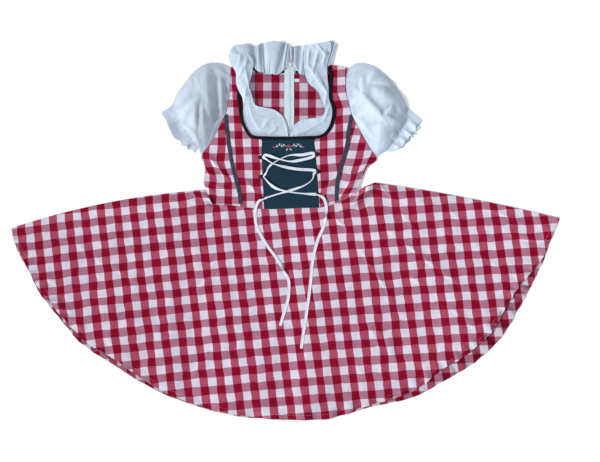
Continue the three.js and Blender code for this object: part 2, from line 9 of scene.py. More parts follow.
import bpy
import numpy as np
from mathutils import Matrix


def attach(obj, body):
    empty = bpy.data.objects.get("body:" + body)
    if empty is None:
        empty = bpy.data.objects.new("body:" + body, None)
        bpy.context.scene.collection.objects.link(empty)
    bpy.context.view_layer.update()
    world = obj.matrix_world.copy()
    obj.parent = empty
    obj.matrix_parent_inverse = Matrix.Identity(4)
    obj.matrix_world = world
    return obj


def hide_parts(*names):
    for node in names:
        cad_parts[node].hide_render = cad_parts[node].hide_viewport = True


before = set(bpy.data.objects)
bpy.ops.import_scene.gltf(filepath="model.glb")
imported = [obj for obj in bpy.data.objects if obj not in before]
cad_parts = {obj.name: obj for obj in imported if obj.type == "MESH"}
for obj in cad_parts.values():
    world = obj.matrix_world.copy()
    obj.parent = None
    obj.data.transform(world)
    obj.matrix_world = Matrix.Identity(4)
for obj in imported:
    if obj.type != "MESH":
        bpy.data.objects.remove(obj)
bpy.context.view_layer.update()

# ---- driving sizes ---------------------------------------------------------------------------
MM = 0.001                 # metres in a millimetre
CHECK = 40.0               # gingham repeat: one red and one white stripe
THREADS = 72               # threads in one repeat
CLOTH = 1.2                # wall of the solids
FABRIC = 0.6               # thickness of the finished cloth
SEAM = 0.3
FRONT_EDGE = 1.5           # underside of the front layer at the sides, and how much it rises
FRONT_CROWN = 3.0
BODICE_HALF = 205
ZIP_X = 11
ZIP_TOP = 398
ZIP_BOTTOM = -40
COLUMN_LEAN = 0.13         # the skirt's columns of checks lean right towards the hem
COLUMN_LEAN_GAIN = 0.00003  # and lean more for each millimetre to the right
COLUMN_START = -0.40
ROW_TILT = 0.082           # its rows climb to the right
ROW_BOW = 0.00004          # and level out there
ROW_PITCH = 38.8           # at the waist
ROW_GROWTH = 2.5e-6        # the rows widen towards the hem
ROW_START = -0.25
LACE_WIDTH = 7
LACE_THICK = 0.7
LACE_BASE = 6.0            # top of the front layer along its middle
LOOP_THICK = 1.2
LACE_LEVEL = 1.6           # a lace that crosses another lies this much higher
PRINCESS_RIBBON_WIDTH = 9.4
FINE_STITCH = (3.4, 2.2, 0.18)  # step, length and radius of the white pieces' stitches
SLEEVE_MARGIN = 0.012      # share of a sleeve's width left clear at each side
RUFFLE_FROM = 6 / 7        # where along a sleeve its elastic lies
TAPE_LEFT_WIDTH = 12.6     # of the zip, as it shows
TAPE_RIGHT_WIDTH = 8
COIL_PITCH = 1.45
COIL_HALF = 1.15           # half the width of the zip's coil
CAMERA_HEIGHT = 1.95
VIEW_WIDTH = 1.464         # metres across the picture, on the floor
VIEW_CENTRE = (0.035, -0.001)
SENSOR = 36.0


# ---- curves ------------------------------------------------------------------------------------
def table(names, *rows):
    """Columns of a table by name."""
    return dict(zip(names.split(), np.array(rows, float).T))


def edge(x, y):
    """A smooth curve through points, at equal steps of t from 0 to 1."""
    points = np.column_stack([x, y])
    ends = (2 * points[0] - points[1], 2 * points[-1] - points[-2])
    padded = np.vstack([ends[0], points, ends[1]])

    def at(t):
        place = np.clip(np.asarray(t, float), 0, 1) * (len(points) - 1)
        i = np.minimum(place.astype(int), len(points) - 2)
        w = (place - i)[..., None]
        p0, p1, p2, p3 = (padded[i + k] for k in range(4))
        d0, d1, d2 = (
            np.sqrt(np.linalg.norm(q - p, axis=-1, keepdims=True))
            for p, q in ((p0, p1), (p1, p2), (p2, p3))
        )
        m1 = ((p1 - p0) / d0 - (p2 - p0) / (d0 + d1) + (p2 - p1) / d1) * d1
        m2 = ((p2 - p1) / d1 - (p3 - p1) / (d1 + d2) + (p3 - p2) / d2) * d1
        rest = (3 * (p2 - p1) - 2 * m1 - m2) * w**2 + (2 * (p1 - p2) + m1 + m2) * w**3
        return p1 + m1 * w + rest

    return at


def column(values):
    """One column of a table as a smooth function of t."""
    padded = np.concatenate([values[:1], values, values[-1:]])

    def at(t):
        place = np.clip(np.asarray(t, float), 0, 1) * (len(values) - 1)
        i = np.minimum(place.astype(int), len(values) - 2)
        w = place - i
        p0, p1, p2, p3 = (padded[i + k] for k in range(4))
        m1, m2 = (p2 - p0) / 2, (p3 - p1) / 2
        rest = (3 * (p2 - p1) - 2 * m1 - m2) * w**2 + (2 * (p1 - p2) + m1 + m2) * w**3
        return p1 + m1 * w + rest

    return at


def ease(value, low, high):
    """Smooth step from 0 at low to 1 at high; low may be the larger."""
    x = np.clip((np.asarray(value, float) - low) / (high - low), 0, 1)
    return x * x * (3 - 2 * x)


def mix(a, b, share):
    return a + (b - a) * share


def unit(way):
    """Directions made one long."""
    return way / np.linalg.norm(way, axis=-1, keepdims=True)


def beside(way):
    """Plan directions turned a quarter turn to the left."""
    return np.stack([-way[..., 1], way[..., 0]], -1)


def run_along(path):
    """Distance of each point of a path from its start, along the path."""
    return np.concatenate([[0], np.cumsum(np.linalg.norm(np.diff(path, axis=0), axis=1))])


def across(a, b, s, bow=0.0):
    """Points on the lines from a to b, bowed sideways by a distance at their middles."""
    side = unit(beside(b - a))
    return mix(a, b, s[..., None]) + side * (4 * bow * s * (1 - s))[..., None]


def one_edge(rows):
    return edge(rows["x"], rows["y"])


def two_edges(rows):
    return edge(rows["ax"], rows["ay"]), edge(rows["bx"], rows["by"])


def grid(along, wide):
    return np.meshgrid(np.linspace(0, 1, along + 1), np.linspace(0, 1, wide + 1), indexing="ij")


def lift(plan, z):
    """Points from a plan and heights."""
    return np.concatenate([plan, np.broadcast_to(z, plan.shape[:-1])[..., None]], -1)


def crease_frame(x, y, x0, y0, angle, long):
    """Share of half a crease's length along it, millimetres to its left, and that direction."""
    c, s = math.cos(math.radians(angle)), math.sin(math.radians(angle))
    return ((x - x0) * c + (y - y0) * s) / (long / 2), (y - y0) * c - (x - x0) * s, [-s, c]


def crease_height(rows, x, y):
    """Soft creases: each has a middle, a direction in degrees, a size and a bend."""
    rise = np.zeros(np.broadcast(x, y).shape)
    for x0, y0, angle, long, wide, high, bend in rows:
        u, left, _ = crease_frame(x, y, x0, y0, angle, long)
        v = left / (wide / 2) - bend * u * u
        rise += high * np.exp(-np.abs(v) ** 1.5) * np.clip(1 - u * u, 0, 1) ** 1.2
    return rise


def tent_height(rows, x, y):
    """Crisp folds that meet in valleys: a line, then its width on the left and right of it."""
    rise = np.zeros(np.broadcast(x, y).shape)
    for x0, y0, angle, long, left, right, high in rows:
        u, v, _ = crease_frame(x, y, x0, y0, angle, long)
        side = np.where(v > 0, v / left, v / right)
        slope = np.sqrt(side**2 + 0.012) - 0.11
        rise = np.maximum(rise, high * (1 - slope - 0.8 * np.abs(u) ** 2.5))
    return rise


def crease_slip(rows, x, y, share=1.3):
    """How far the cloth's pattern is drawn in on both sides of each crease, as (x, y) shifts."""
    slip = np.zeros(np.broadcast(x, y).shape + (2,))
    for x0, y0, angle, long, wide, high, bend in rows:
        u, left, to_left = crease_frame(x, y, x0, y0, angle, long)
        v = left / (wide / 2) - bend * u * u
        draw = share * high * np.tanh(v) * np.exp(-((v / 9) ** 2)) * np.clip(1 - u * u, 0, 1)
        slip += draw[..., None] * to_left
    return slip


def hollow(z, gain, flat=0.0, reach=10):
    """Share of shade over a grid of heights: more where it lies below its neighbourhood."""
    level = z.copy()
    for _ in range(reach):
        level[1:-1] = (level[2:] + level[:-2] + 2 * level[1:-1]) / 4
        level[:, 1:-1] = (level[:, 2:] + level[:, :-2] + 2 * level[:, 1:-1]) / 4
    return np.clip(flat + gain * (level - z), 0, 1)


def crumple(x, y, size, seed):
    """Uneven soft ridges from a few bent waves, about -1 to 1; size is their usual spacing."""
    rise = 0.0
    for k in range(5):
        turn = 1.9 * k + seed
        scale = 2 * math.pi / (size * (0.75 + 0.35 * k))
        u = (x * math.cos(turn) + y * math.sin(turn)) * scale
        v = (y * math.cos(turn) - x * math.sin(turn)) * scale
        wave = np.sin(u + 1.3 * np.sin(0.6 * v + 2.1 * seed + k) + 3.7 * k)
        rise = rise + (1 - 2 * np.abs(wave)) * np.cos(0.45 * v + 1.1 * k * seed)
    return rise / 3


# ---- tables ------------------------------------------------------------------------------------
SKIRT = table("ax ay bx by inset",
    [-201, 99, -670, 6, 0],
    [-187, 82, -659, -38, 0],
    [-177, 64, -626, -101, 2],
    [-155, 62, -604, -148, 5],
    [-131, 61, -550, -217, 8],
    [-104, 57, -497, -278, 12],
    [-77, 54, -423, -326, 12],
    [-50, 52, -331, -384, 8],
    [-23, 52, -221, -428, 4],
    [1, 53, -111, -455, 3],
    [26, 54, -1, -462, 2],
    [52, 55, 109, -459, 2],
    [79, 55, 206, -432, 5],
    [104, 60, 309, -409, 15],
    [126, 67, 393, -364, 26],
    [143, 76, 465, -320, 27],
    [155, 82, 521, -267, 28],
    [165, 87, 572, -187, 30],
    [174, 94, 601, -131, 20],
    [189, 105, 628, -79, 8],
    [204, 112, 648, -23, 2],
    [216, 117, 670, 30, 0])
SKIRT_BOW_LEFT, SKIRT_BOW_RIGHT, SKIRT_BOW_FADE = -15, 6, 6
SKIRT_FOLDS = (  # place across the fan, from and to between waist and hem, width, height
    (0.06, -0.1, 0.5, 0.035, 4),
    (0.22, 0.3, 1.2, 0.05, 3),
    (0.41, 0.6, 1.3, 0.04, 4),
    (0.49, 0.68, 1.5, 0.035, 6),
    (0.76, 0.4, 1.2, 0.05, 4),
    (0.93, -0.2, 0.55, 0.04, 7))
SKIRT_CREASES = (  # x, y, angle, length, width, height, bend
    (350, -78, -37, 300, 9, 1.7, 0.5),
    (535, 35, -23, 130, 9, 1.8, -0.6),
    (580, -19, -12, 125, 11, 2.2, 0.8),
    (610, 28, -60, 60, 12, 1.6, 0.0),
    (268, -189, -50, 80, 7, 1.2, 0.3),
    (417, 30, -46, 60, 8, 1.0, 0.0),
    (393, -60, -20, 50, 7, 1.0, 0.4),
    (434, -215, -41, 95, 9, 1.4, -0.5),
    (496, -212, 38, 75, 10, 1.6, 0.3),
    (300, 20, -48, 90, 8, 1.0, 0.4),
    (330, -130, -33, 120, 7, 1.0, -0.4),
    (500, -80, -30, 90, 8, 0.9, 0.5),
    (560, -110, -70, 70, 10, 1.3, 0.0),
    (215, -98, -55, 150, 8, 1.5, 0.5),
    (236, -130, -58, 100, 6, 1.0, -0.3),
    (140, 12, -42, 100, 9, 1.3, 0.4),
    (110, 25, -20, 70, 10, 1.1, 0.0),
    (235, -270, -66, 120, 8, 1.7, 0.5),
    (214, -255, -64, 95, 6, 1.3, -0.5),
    (255, -290, -70, 90, 7, 1.3, 0.2),
    (288, -262, -58, 80, 7, 1.0, 0.4),
    (132, -231, 6, 60, 7, 0.8, 0.3),
    (172, -330, -72, 90, 9, 1.0, 0.4),
    (330, -330, -50, 90, 9, 1.2, 0.3),
    (90, -345, 80, 90, 9, 0.9, 0.3),
    (-393, -107, -37, 95, 8, 1.4, 0.4),
    (-457, -72, -60, 40, 7, 1.1, 0.0),
    (-340, -140, -30, 60, 8, 0.8, 0.3),
    (-320, -236, -60, 60, 8, 1.1, 0.0),
    (-460, -166, 8, 70, 8, 1.1, -0.4),
    (-255, 67, 5, 75, 8, 1.0, 0.4),
    (-205, 60, -14, 60, 8, 0.8, 0.0),
    (-545, -188, -32, 70, 13, 2.2, 0.4),
    (-575, -120, -40, 60, 10, 1.2, 0.0),
    (-600, -60, -20, 70, 9, 1.0, 0.3),
    (-500, -235, -48, 55, 10, 1.6, 0.0),
    (-430, -265, -70, 60, 9, 1.1, 0.3),
    (-176, -78, 40, 40, 7, 1.0, 0.0),
    (-200, -128, 48, 60, 7, 1.1, 0.4),
    (-82, -212, 15, 50, 7, 0.9, 0.3),
    (-155, -215, 52, 60, 8, 0.9, 0.4),
    (-250, -160, 30, 60, 8, 0.7, 0.3),
    (-120, -290, 66, 80, 9, 0.9, -0.3),
    (-40, -330, 82, 70, 9, 0.9, 0.3),
    (-215, -330, 60, 80, 9, 1.1, 0.3),
    (-340, -320, 50, 60, 9, 1.1, 0.0),
    (-20, -250, 30, 45, 7, 0.6, 0.3),
    (-500, -40, -55, 60, 8, 0.8, 0.3),
    (-420, -10, -20, 60, 9, 0.7, 0.3),
    (-300, -30, -62, 70, 8, 0.7, 0.3),
    (-192, 80, -40, 80, 9, 3.0, 0.4),
    (-175, 70, -52, 46, 8, 2.4, 0.0),
    (-150, 58, -14, 60, 8, 1.6, 0.3),
    (192, 92, 42, 60, 12, 4.5, 0.3),
    (208, 106, 18, 60, 9, 3.0, 0.0),
    (232, 100, -10, 70, 9, 1.8, 0.4),
    (176, 80, 50, 44, 8, 3.2, 0.0),
    (250, 88, -38, 80, 8, 1.6, 0.3),
    (150, 62, 12, 50, 8, 1.8, 0.0),
    (-214, 84, -30, 60, 8, 2.2, 0.0))
OUTLINE_LEFT = table("x y",
    [-133, 399], [-134, 377], [-135, 353], [-137, 328], [-141, 306], [-145, 285], [-155, 265],
    [-172, 231], [-189, 204], [-205, 182], [-196, 152], [-199, 122], [-196, 104], [-188, 85])
OUTLINE_RIGHT = table("x y",
    [150, 396], [147, 375], [146, 353], [148, 331], [153, 311], [161, 280], [174, 255],
    [189, 228], [206, 199], [222, 174], [200, 155], [190, 136], [185, 123], [166, 89])
ARMHOLE_SHARE = 9 / 13
FRONT_LEFT = table("ax ay bx by",
    [-133, 399, -92, 404],
    [-134, 377, -102, 377],
    [-135, 353, -111, 353],
    [-137, 328, -116, 328],
    [-141, 306, -113, 306],
    [-145, 285, -111, 287],
    [-144, 267, -107, 267],
    [-142, 245, -98, 246],
    [-140, 231, -84, 227],
    [-139, 218, -60, 222],
    [-135, 192, -59, 192],
    [-129, 157, -57, 157],
    [-120, 123, -56, 123],
    [-112, 89, -54, 89],
    [-109, 59, -53, 54])
FRONT_RIGHT = table("ax ay bx by",
    [150, 396, 108, 404],
    [147, 375, 113, 382],
    [146, 353, 112, 357],
    [148, 331, 111, 333],
    [153, 311, 113, 314],
    [157, 295, 121, 295],
    [160, 279, 119, 274],
    [155, 253, 110, 248],
    [152, 233, 94, 231],
    [151, 218, 72, 222],
    [146, 192, 73, 192],
    [135, 157, 76, 157],
    [128, 123, 78, 123],
    [124, 89, 81, 87],
    [126, 68, 82, 57])
NECK_SHARE = 9 / 14
SIDE_LEFT = table("x y",
    [-149, 277], [-155, 265], [-172, 231], [-189, 204], [-205, 182], [-196, 152], [-199, 122],
    [-196, 104], [-188, 85])
SIDE_LEFT_FROM = 11 / 28
SIDE_RIGHT = table("x y",
    [164, 275], [174, 255], [189, 228], [206, 199], [222, 174], [200, 155], [190, 136],
    [185, 123], [166, 89])
SIDE_RIGHT_FROM = 12 / 28
BACK_LEFT = table("x y",
    [-92, 404], [-60, 391], [-8, 388], [9, 380], [9, 350], [9, 310], [9, 270], [9, 230],
    [9, 200], [9, 170], [9, 140], [9, 110], [9, 82], [9, 54])
BACK_RIGHT = table("x y",
    [107, 402], [75, 387], [35, 384], [13, 380], [13, 350], [13, 310], [13, 270], [13, 230],
    [13, 200], [13, 170], [13, 140], [13, 110], [13, 82], [13, 54])
BACK_NECK_LEFT = table("x y", [-84, 398], [-60, 389], [-34, 386], [-4, 387])
BACK_NECK_RIGHT = table("x y", [24, 387], [46, 382], [76, 386], [98, 396])
FOOT_TOP = 120
WAIST_GAP = 1.0
BODICE_CREASES = (
    (-172, 160, -50, 100, 10, 3.6, 0.5),
    (-186, 140, -35, 60, 9, 2.4, 0.0),
    (-152, 140, -60, 60, 8, 1.8, 0.3),
    (-160, 105, -18, 70, 9, 1.8, 0.4),
    (-190, 118, 8, 50, 9, 1.8, 0.0),
    (-88, 112, -48, 75, 8, 1.6, 0.4),
    (-74, 96, -30, 40, 7, 1.2, 0.0),
    (-126, 210, -70, 50, 8, 0.7, 0.0),
    (-122, 318, -25, 26, 7, 0.9, 0.0),
    (-126, 345, -20, 24, 7, 0.8, 0.0),
    (172, 135, 50, 110, 10, 3.2, -0.5),
    (190, 168, 42, 70, 9, 2.4, 0.0),
    (160, 108, 55, 55, 8, 2.0, 0.0),
    (110, 118, 50, 85, 8, 2.2, 0.4),
    (98, 95, 62, 50, 8, 1.6, 0.0),
    (130, 84, 30, 60, 9, 1.8, 0.3),
    (136, 150, -62, 60, 8, 1.4, 0.0),
    (182, 108, 46, 60, 7, 3.4, 0.0),
    (168, 96, 30, 50, 7, 2.6, 0.3),
    (-182, 98, -36, 50, 7, 2.6, 0.0),
    (134, 290, 40, 36, 8, 1.1, 0.0),
    (128, 330, -20, 30, 7, 0.8, 0.0),
    (20, 120, 12, 70, 14, 0.5, 0.4),
    (-15, 70, -6, 60, 12, 0.4, 0.0))
SLEEVE_LEFT = table("ax ay bx by bow height",
    [-134, 399, -206, 184, 23, 8],
    [-155, 410, -208, 187, 19, 17],
    [-189, 411, -209, 190, 12, 27],
    [-220, 394, -210, 193, 6, 33],
    [-245, 364, -211, 196, 2, 32],
    [-265, 336, -211, 199, -2, 24],
    [-281, 305, -211, 203, -7, 11],
    [-301, 292, -219, 190, -16, 15])
SLEEVE_RIGHT = table("ax ay bx by bow height",
    [151, 396, 224, 175, -24, 8],
    [172, 411, 227, 178, -20, 17],
    [211, 406, 230, 181, -12, 27],
    [245, 382, 232, 184, -6, 33],
    [270, 353, 235, 187, 0, 32],
    [287, 326, 239, 189, 5, 24],
    [299, 301, 244, 192, 10, 11],
    [331, 272, 259, 189, 12, 15])
ARMHOLE_GAP = 1.4
SLEEVE_EDGE = 3.2
FRILL_LEFT = table("ax ay bx by",
    [-108, 410, -140, 426],
    [-98, 410, -128, 449],
    [-83, 408, -94, 454],
    [-69, 397, -72, 450],
    [-52, 391, -57, 457],
    [-38, 388, -33, 458],
    [-21, 388, -6, 458],
    [-6, 394, 4, 454],
    [6, 411, 8.5, 448])
FRILL_RIGHT = table("ax ay bx by",
    [13, 413, 10.5, 447],
    [20, 401, 23, 449],
    [30, 391, 35, 450],
    [43, 387, 50, 450],
    [62, 387, 67, 449],
    [82, 392, 84, 449],
    [97, 406, 107, 463],
    [106, 410, 126, 453])
INSERT_LEFT = table("ax ay bx by",
    [-139, 425, -92, 432],
    [-133, 406, -81, 416],
    [-121, 382, -79, 399],
    [-120, 357, -84, 372],
    [-113, 338, -89, 350],
    [-105, 322, -83, 333],
    [-103, 306, -74, 306],
    [-104, 284, -50, 299],
    [-100, 262, -28, 294],
    [-91, 240, -11, 282],
    [-77, 228, -1, 265],
    [-55, 226, 4, 246],
    [-28, 226, 5, 235],
    [-4, 226, 6, 229])
INSERT_RIGHT = table("ax ay bx by",
    [107, 460, 45, 449],
    [111, 445, 45, 436],
    [106, 423, 44, 416],
    [101, 403, 45, 394],
    [101, 387, 48, 377],
    [102, 367, 57, 357],
    [105, 343, 74, 343],
    [105, 323, 82, 331],
    [112, 301, 87, 314],
    [113, 287, 95, 292],
    [110, 267, 87, 278],
    [102, 248, 55, 272],
    [88, 234, 35, 267],
    [70, 227, 21, 257],
    [43, 227, 12, 246],
    [16, 227, 9, 229])
INSERT_LOW, INSERT_HIGH, INSERT_PUFF = 3.5, 8.6, 4
LOOPS = (  # name, x, y, facing
    ("left_1", -59, 178, 1), ("left_2", -57, 131, 1), ("left_3", -55, 77, 1),
    ("right_1", 74, 186, -1), ("right_2", 77, 143, -1), ("right_3", 80, 87, -1))
STRETCHES = (  # name, level, points; the ends reach into the loops
    ("lace_stretch_1", 0, [(67, 188), (40, 184), (10, 183), (-20, 170), (-40, 155), (-48, 139)]),
    ("lace_stretch_2", 1, [(67, 180), (40, 172), (12, 168), (-20, 175), (-49, 183)]),
    ("lace_stretch_3", 2, [(-50, 175), (-31, 163), (0, 154), (30, 149), (69, 146)]),
    ("lace_stretch_4", 0, [(69, 138), (66, 126), (50, 112), (20, 100), (-11, 91), (-46, 80)]),
    ("lace_stretch_5", 1, [(-48, 124), (-40, 115), (-24, 103), (4, 95), (40, 90), (71, 88)]))
TAIL_LEFT = [(-66, 70), (-73, 52), (-74, 36), (-72, 16), (-65, -2), (-54, -22), (-41, -42),
             (-26, -62), (-12, -84), (0, -106), (7, -122), (8, -142), (6, -166), (0, -188),
             (-7, -210), (-13, -231)]
TAIL_RIGHT = [(91, 80), (98, 64), (99, 46), (96, 24), (89, 2), (80, -18), (72, -44), (66, -72),
              (63, -98), (61, -122), (58, -146), (55, -170), (51, -198), (47, -226), (42, -256),
              (38, -287)]


# ---- node materials ----------------------------------------------------------------------------
class Nodes:
    """A material's node tree, built by short calls."""

    def __init__(self, name, rough, **shader):
        self.material = bpy.data.materials.new(name)
        self.material.use_nodes = True
        self.tree = self.material.node_tree
        self.shader = self.tree.nodes["Principled BSDF"]
        self.set("Roughness", rough)
        for key, value in shader.items():
            self.set(key.replace("_", " "), value)

    def set(self, key, value):
        self.shader.inputs[key].default_value = value

    def node(self, kind, links=None, **settings):
        made = self.tree.nodes.new("ShaderNode" + kind)
        for key, value in settings.items():
            setattr(made, key, value)
        for key, value in (links or {}).items():
            if isinstance(value, bpy.types.NodeSocket):
                self.tree.links.new(value, made.inputs[key])
            else:
                made.inputs[key].default_value = value
        return made

    def math(self, operation, a, b=0.0):
        return self.node("Math", {0: a, 1: b}, operation=operation).outputs[0]

    def ramp(self, value, low, high):
        links = {"Value": value, "From Min": low, "From Max": high}
        return self.node("MapRange", links, interpolation_type="SMOOTHSTEP").outputs[0]

    def blend(self, share, a, b, kind="MIX"):
        made = self.node("Mix", {"Factor": share}, data_type="RGBA", blend_type=kind)
        for key, value in (("A", a), ("B", b)):
            socket = next(i for i in made.inputs if i.name == key and i.type == "RGBA")
            if isinstance(value, bpy.types.NodeSocket):
                self.tree.links.new(value, socket)
            else:
                socket.default_value = (*value, 1)
        return next(o for o in made.outputs if o.type == "RGBA")

    def noise(self, scale, detail=3.0, stretch=(1, 1, 1)):
        place = self.node("TexCoord").outputs["Object"]
        place = self.node("Mapping", {"Vector": place, "Scale": stretch}).outputs[0]
        links = {"Vector": place, "Scale": scale, "Detail": detail}
        return self.node("TexNoise", links).outputs[0]

    def cloth_uv(self):
        """Across and along the cloth, in repeats of the gingham."""
        uv = self.node("UVMap", uv_map="Cloth").outputs[0]
        split = self.node("SeparateXYZ", {0: uv})
        return split.outputs[0], split.outputs[1]

    def weave(self, u, v, threads):
        """Height of a plain weave, 0 to 1, and 1 where the warp is on top."""
        a = self.math("SINE", self.math("MULTIPLY", u, math.pi * threads))
        b = self.math("SINE", self.math("MULTIPLY", v, math.pi * threads))
        both = self.math("MULTIPLY", a, b)
        top = self.ramp(both, -0.25, 0.25)
        height = self.math("MULTIPLY", both, both)
        return height, top

    def bump(self, *layers):
        """Bump from (height, distance in mm, strength) layers."""
        normal = None
        for height, distance, strength in layers:
            links = {"Height": height, "Distance": distance * MM, "Strength": strength}
            if normal is not None:
                links["Normal"] = normal
            normal = self.node("Bump", links).outputs[0]
        self.tree.links.new(normal, self.shader.inputs["Normal"])

    def colour(self, socket):
        self.tree.links.new(socket, self.shader.inputs["Base Color"])


def linear(red, green, blue, share=1.0):
    """A display colour out of 255 as scene-linear light, times a share."""
    def one(c):
        c /= 255
        return share * (c / 12.92 if c <= 0.04045 else ((c + 0.055) / 1.055) ** 2.4)
    return one(red), one(green), one(blue)


def gingham_material(name, shade=1.0):
    m = Nodes(name, 0.9, Sheen_Weight=0.02, Specular_IOR_Level=0.1)
    u, v = m.cloth_uv()
    red, white = linear(136, 2, 38, shade), linear(216, 209, 228, shade)
    pink, mauve = linear(168, 60, 88, shade), linear(170, 110, 134, shade)
    soft = 0.012

    def stripe(value):
        off = m.math("ABSOLUTE", m.math("SUBTRACT", m.math("FRACT", value), 0.5))
        return m.ramp(off, 0.25 + soft, 0.25 - soft)

    column_red, row_red = stripe(u), stripe(v)
    plain = m.blend(row_red, white, mauve)
    dyed = m.blend(row_red, pink, red)
    tone = m.blend(column_red, plain, dyed)
    height, top = m.weave(u, v, THREADS)
    warp = m.blend(column_red, white, red)
    weft = m.blend(row_red, white, red)
    thread = m.blend(top, weft, warp)
    tone = m.blend(0.08, tone, thread)
    slub_along = m.noise(60, 2, (1, 0.04, 1))
    slub_across = m.noise(60, 2, (0.04, 1, 1))
    slub = m.math("ADD", slub_along, slub_across)
    uneven = m.node("MapRange", {"Value": slub, "From Min": 0.7, "From Max": 1.3,
                                 "To Min": 0.90, "To Max": 1.08}).outputs[0]
    tone = m.blend(1.0, tone, uneven, "MULTIPLY")
    # painted shade and highlight: the Shade attribute darkens the checks in creases and hollows, down
    # to 0.45, and lifts them on ridges, up to 1.08
    painted_fold_shade = m.node("Attribute", attribute_name="Shade").outputs["Fac"]
    painted_shade_and_highlight = m.node("MapRange", {"Value": painted_fold_shade, "To Min": 1.08, "To Max": 0.45}).outputs[0]
    tone = m.blend(1.0, tone, painted_shade_and_highlight, "MULTIPLY")
    m.colour(tone)
    m.bump((height, 0.12, 0.5), (m.noise(45, 4), 2.2, 0.5), (m.noise(160, 3), 0.6, 0.45))
    return m.material


def cotton_material(name, tone, shade_tone, threads=96):
    """Thin white cotton with painted shade: greyer towards shade_tone in its folds and hollows, as
    the Shade attribute gives.
    """
    m = Nodes(name, 0.88, Sheen_Weight=0.03, Specular_IOR_Level=0.2)
    u, v = m.cloth_uv()
    height, _ = m.weave(u, v, threads)
    painted_fold_shade = m.node("Attribute", attribute_name="Shade").outputs["Fac"]
    patch = m.ramp(m.noise(14, 4), 0.35, 0.7)
    base = m.blend(m.math("MULTIPLY", patch, 0.22), tone, shade_tone)
    # painted shade: blend towards shade_tone by the Shade attribute
    base = m.blend(painted_fold_shade, base, shade_tone)
    # painted shade of the weave: a little darker between the threads, lighter on their crossings
    thread = m.node("MapRange", {"Value": height, "To Min": 0.955, "To Max": 1.02}).outputs[0]
    m.colour(m.blend(1.0, base, thread, "MULTIPLY"))
    m.bump((height, 0.08, 0.4), (m.noise(55, 5), 1.8, 0.45), (m.noise(190, 3), 0.5, 0.4))
    return m.material


def twill_material(name, tone, light, threads=60, rough=0.8):
    """Twill: slanting ribs with a little of the lighter thread between them."""
    m = Nodes(name, rough, Sheen_Weight=0.02, Specular_IOR_Level=0.12)
    u, v = m.cloth_uv()
    slant = m.math("ADD", u, v)
    line = m.math("SINE", m.math("MULTIPLY", slant, 2 * math.pi * threads))
    line = m.node("MapRange", {"Value": line, "From Min": -1.0, "From Max": 1.0}).outputs[0]
    cross, _ = m.weave(u, v, threads * 1.5)
    share = m.math("ADD", m.math("MULTIPLY", line, 0.35), m.math("MULTIPLY", cross, 0.2))
    spots = m.ramp(m.noise(700, 2), 0.45, 0.75)
    share = m.math("ADD", share, m.math("MULTIPLY", spots, 0.3))
    m.colour(m.blend(share, tone, light))
    m.bump((line, 0.12, 0.6), (m.noise(50, 4), 1.2, 0.3))
    return m.material


def rib_material(name, tone, light, ribs, rough, **shader):
    """Ribbon with fine ribs across it; v runs along the ribbon."""
    m = Nodes(name, rough, **shader)
    _, v = m.cloth_uv()
    rib = m.math("SINE", m.math("MULTIPLY", v, 2 * math.pi * ribs))
    rib = m.node("MapRange", {"Value": rib, "From Min": -1.0, "From Max": 1.0}).outputs[0]
    share = m.math("ADD", m.math("MULTIPLY", rib, 0.4),
                   m.math("MULTIPLY", m.ramp(m.noise(120, 3), 0.4, 0.7), 0.4))
    m.colour(m.blend(share, tone, light))
    m.bump((rib, 0.15, 0.5), (m.noise(90, 3), 0.8, 0.3))
    return m.material


def plain_material(name, tone, light, rough, scale=90, **shader):
    m = Nodes(name, rough, **shader)
    m.colour(m.blend(m.ramp(m.noise(scale, 4), 0.35, 0.7), tone, light))
    m.bump((m.noise(scale * 8, 3), 0.1, 0.3))
    return m.material


GINGHAM = gingham_material("gingham_outside")
# a uniformly darker copy of the gingham: painted shade on the back panels and the back skirt
GINGHAM_SHADED = gingham_material("gingham_inside_shaded", 0.81)
# a darker copy of the white cotton: painted shade on the left sleeve
COTTON_SHADED_LEFT = cotton_material("cotton_sleeve_left_shaded", linear(205, 218, 235), linear(142, 146, 163))
COTTON = cotton_material("cotton_white", linear(212, 231, 250), linear(136, 136, 154))
COTTON_TAPE = twill_material("cotton_tape", linear(196, 214, 228), linear(232, 242, 252), 40)
SATIN_LABEL = rib_material("label_satin", linear(205, 208, 220), linear(232, 236, 245), 60, 0.5)
NYLON = plain_material("zip_nylon", linear(196, 208, 220), linear(224, 234, 244), 0.35)
ENAMEL = plain_material("zip_enamel", linear(214, 220, 228), linear(228, 234, 240), 0.25)
PLASTRON = twill_material("plastron_twill", linear(14, 42, 60), linear(40, 72, 90), 50)
PIPING = twill_material("binding_satin", linear(5, 5, 16), linear(20, 20, 34), 40, 0.6)
LOOP_CORD = rib_material("loop_cord", linear(20, 18, 32), linear(44, 42, 58), 30, 0.7,
                         Specular_IOR_Level=0.2)
SLATE = rib_material("ribbon_slate", linear(40, 52, 68), linear(70, 84, 102), 36, 0.7,
                     Specular_IOR_Level=0.15)
SATIN = rib_material("lace_satin", linear(214, 222, 238), linear(246, 248, 255), 50, 0.38,
                     Sheen_Weight=0.2)
THREAD_WHITE = plain_material("thread_white", linear(214, 220, 232), linear(240, 242, 250), 0.5, 900)
THREAD_RED = plain_material("thread_red", linear(128, 16, 40), linear(172, 40, 60), 0.45, 900)
THREAD_PINK = plain_material("thread_pink", linear(206, 140, 150), linear(232, 176, 180), 0.45, 900)
THREAD_DARK = plain_material("thread_dark", linear(26, 30, 44), linear(52, 58, 74), 0.5, 900)


# ---- meshes --------------------------------------------------------------------------------------
def outward(points, faces):
    """The faces turned so that the closed surface encloses a positive volume."""
    volume = 0
    for block in faces:
        for k in range(1, block.shape[1] - 1):
            a, b, c = (points[block[:, i]] for i in (0, k, k + 1))
            volume += np.einsum("ij,ij->", a, np.cross(b, c))
    return faces if volume > 0 else [block[:, ::-1] for block in faces]


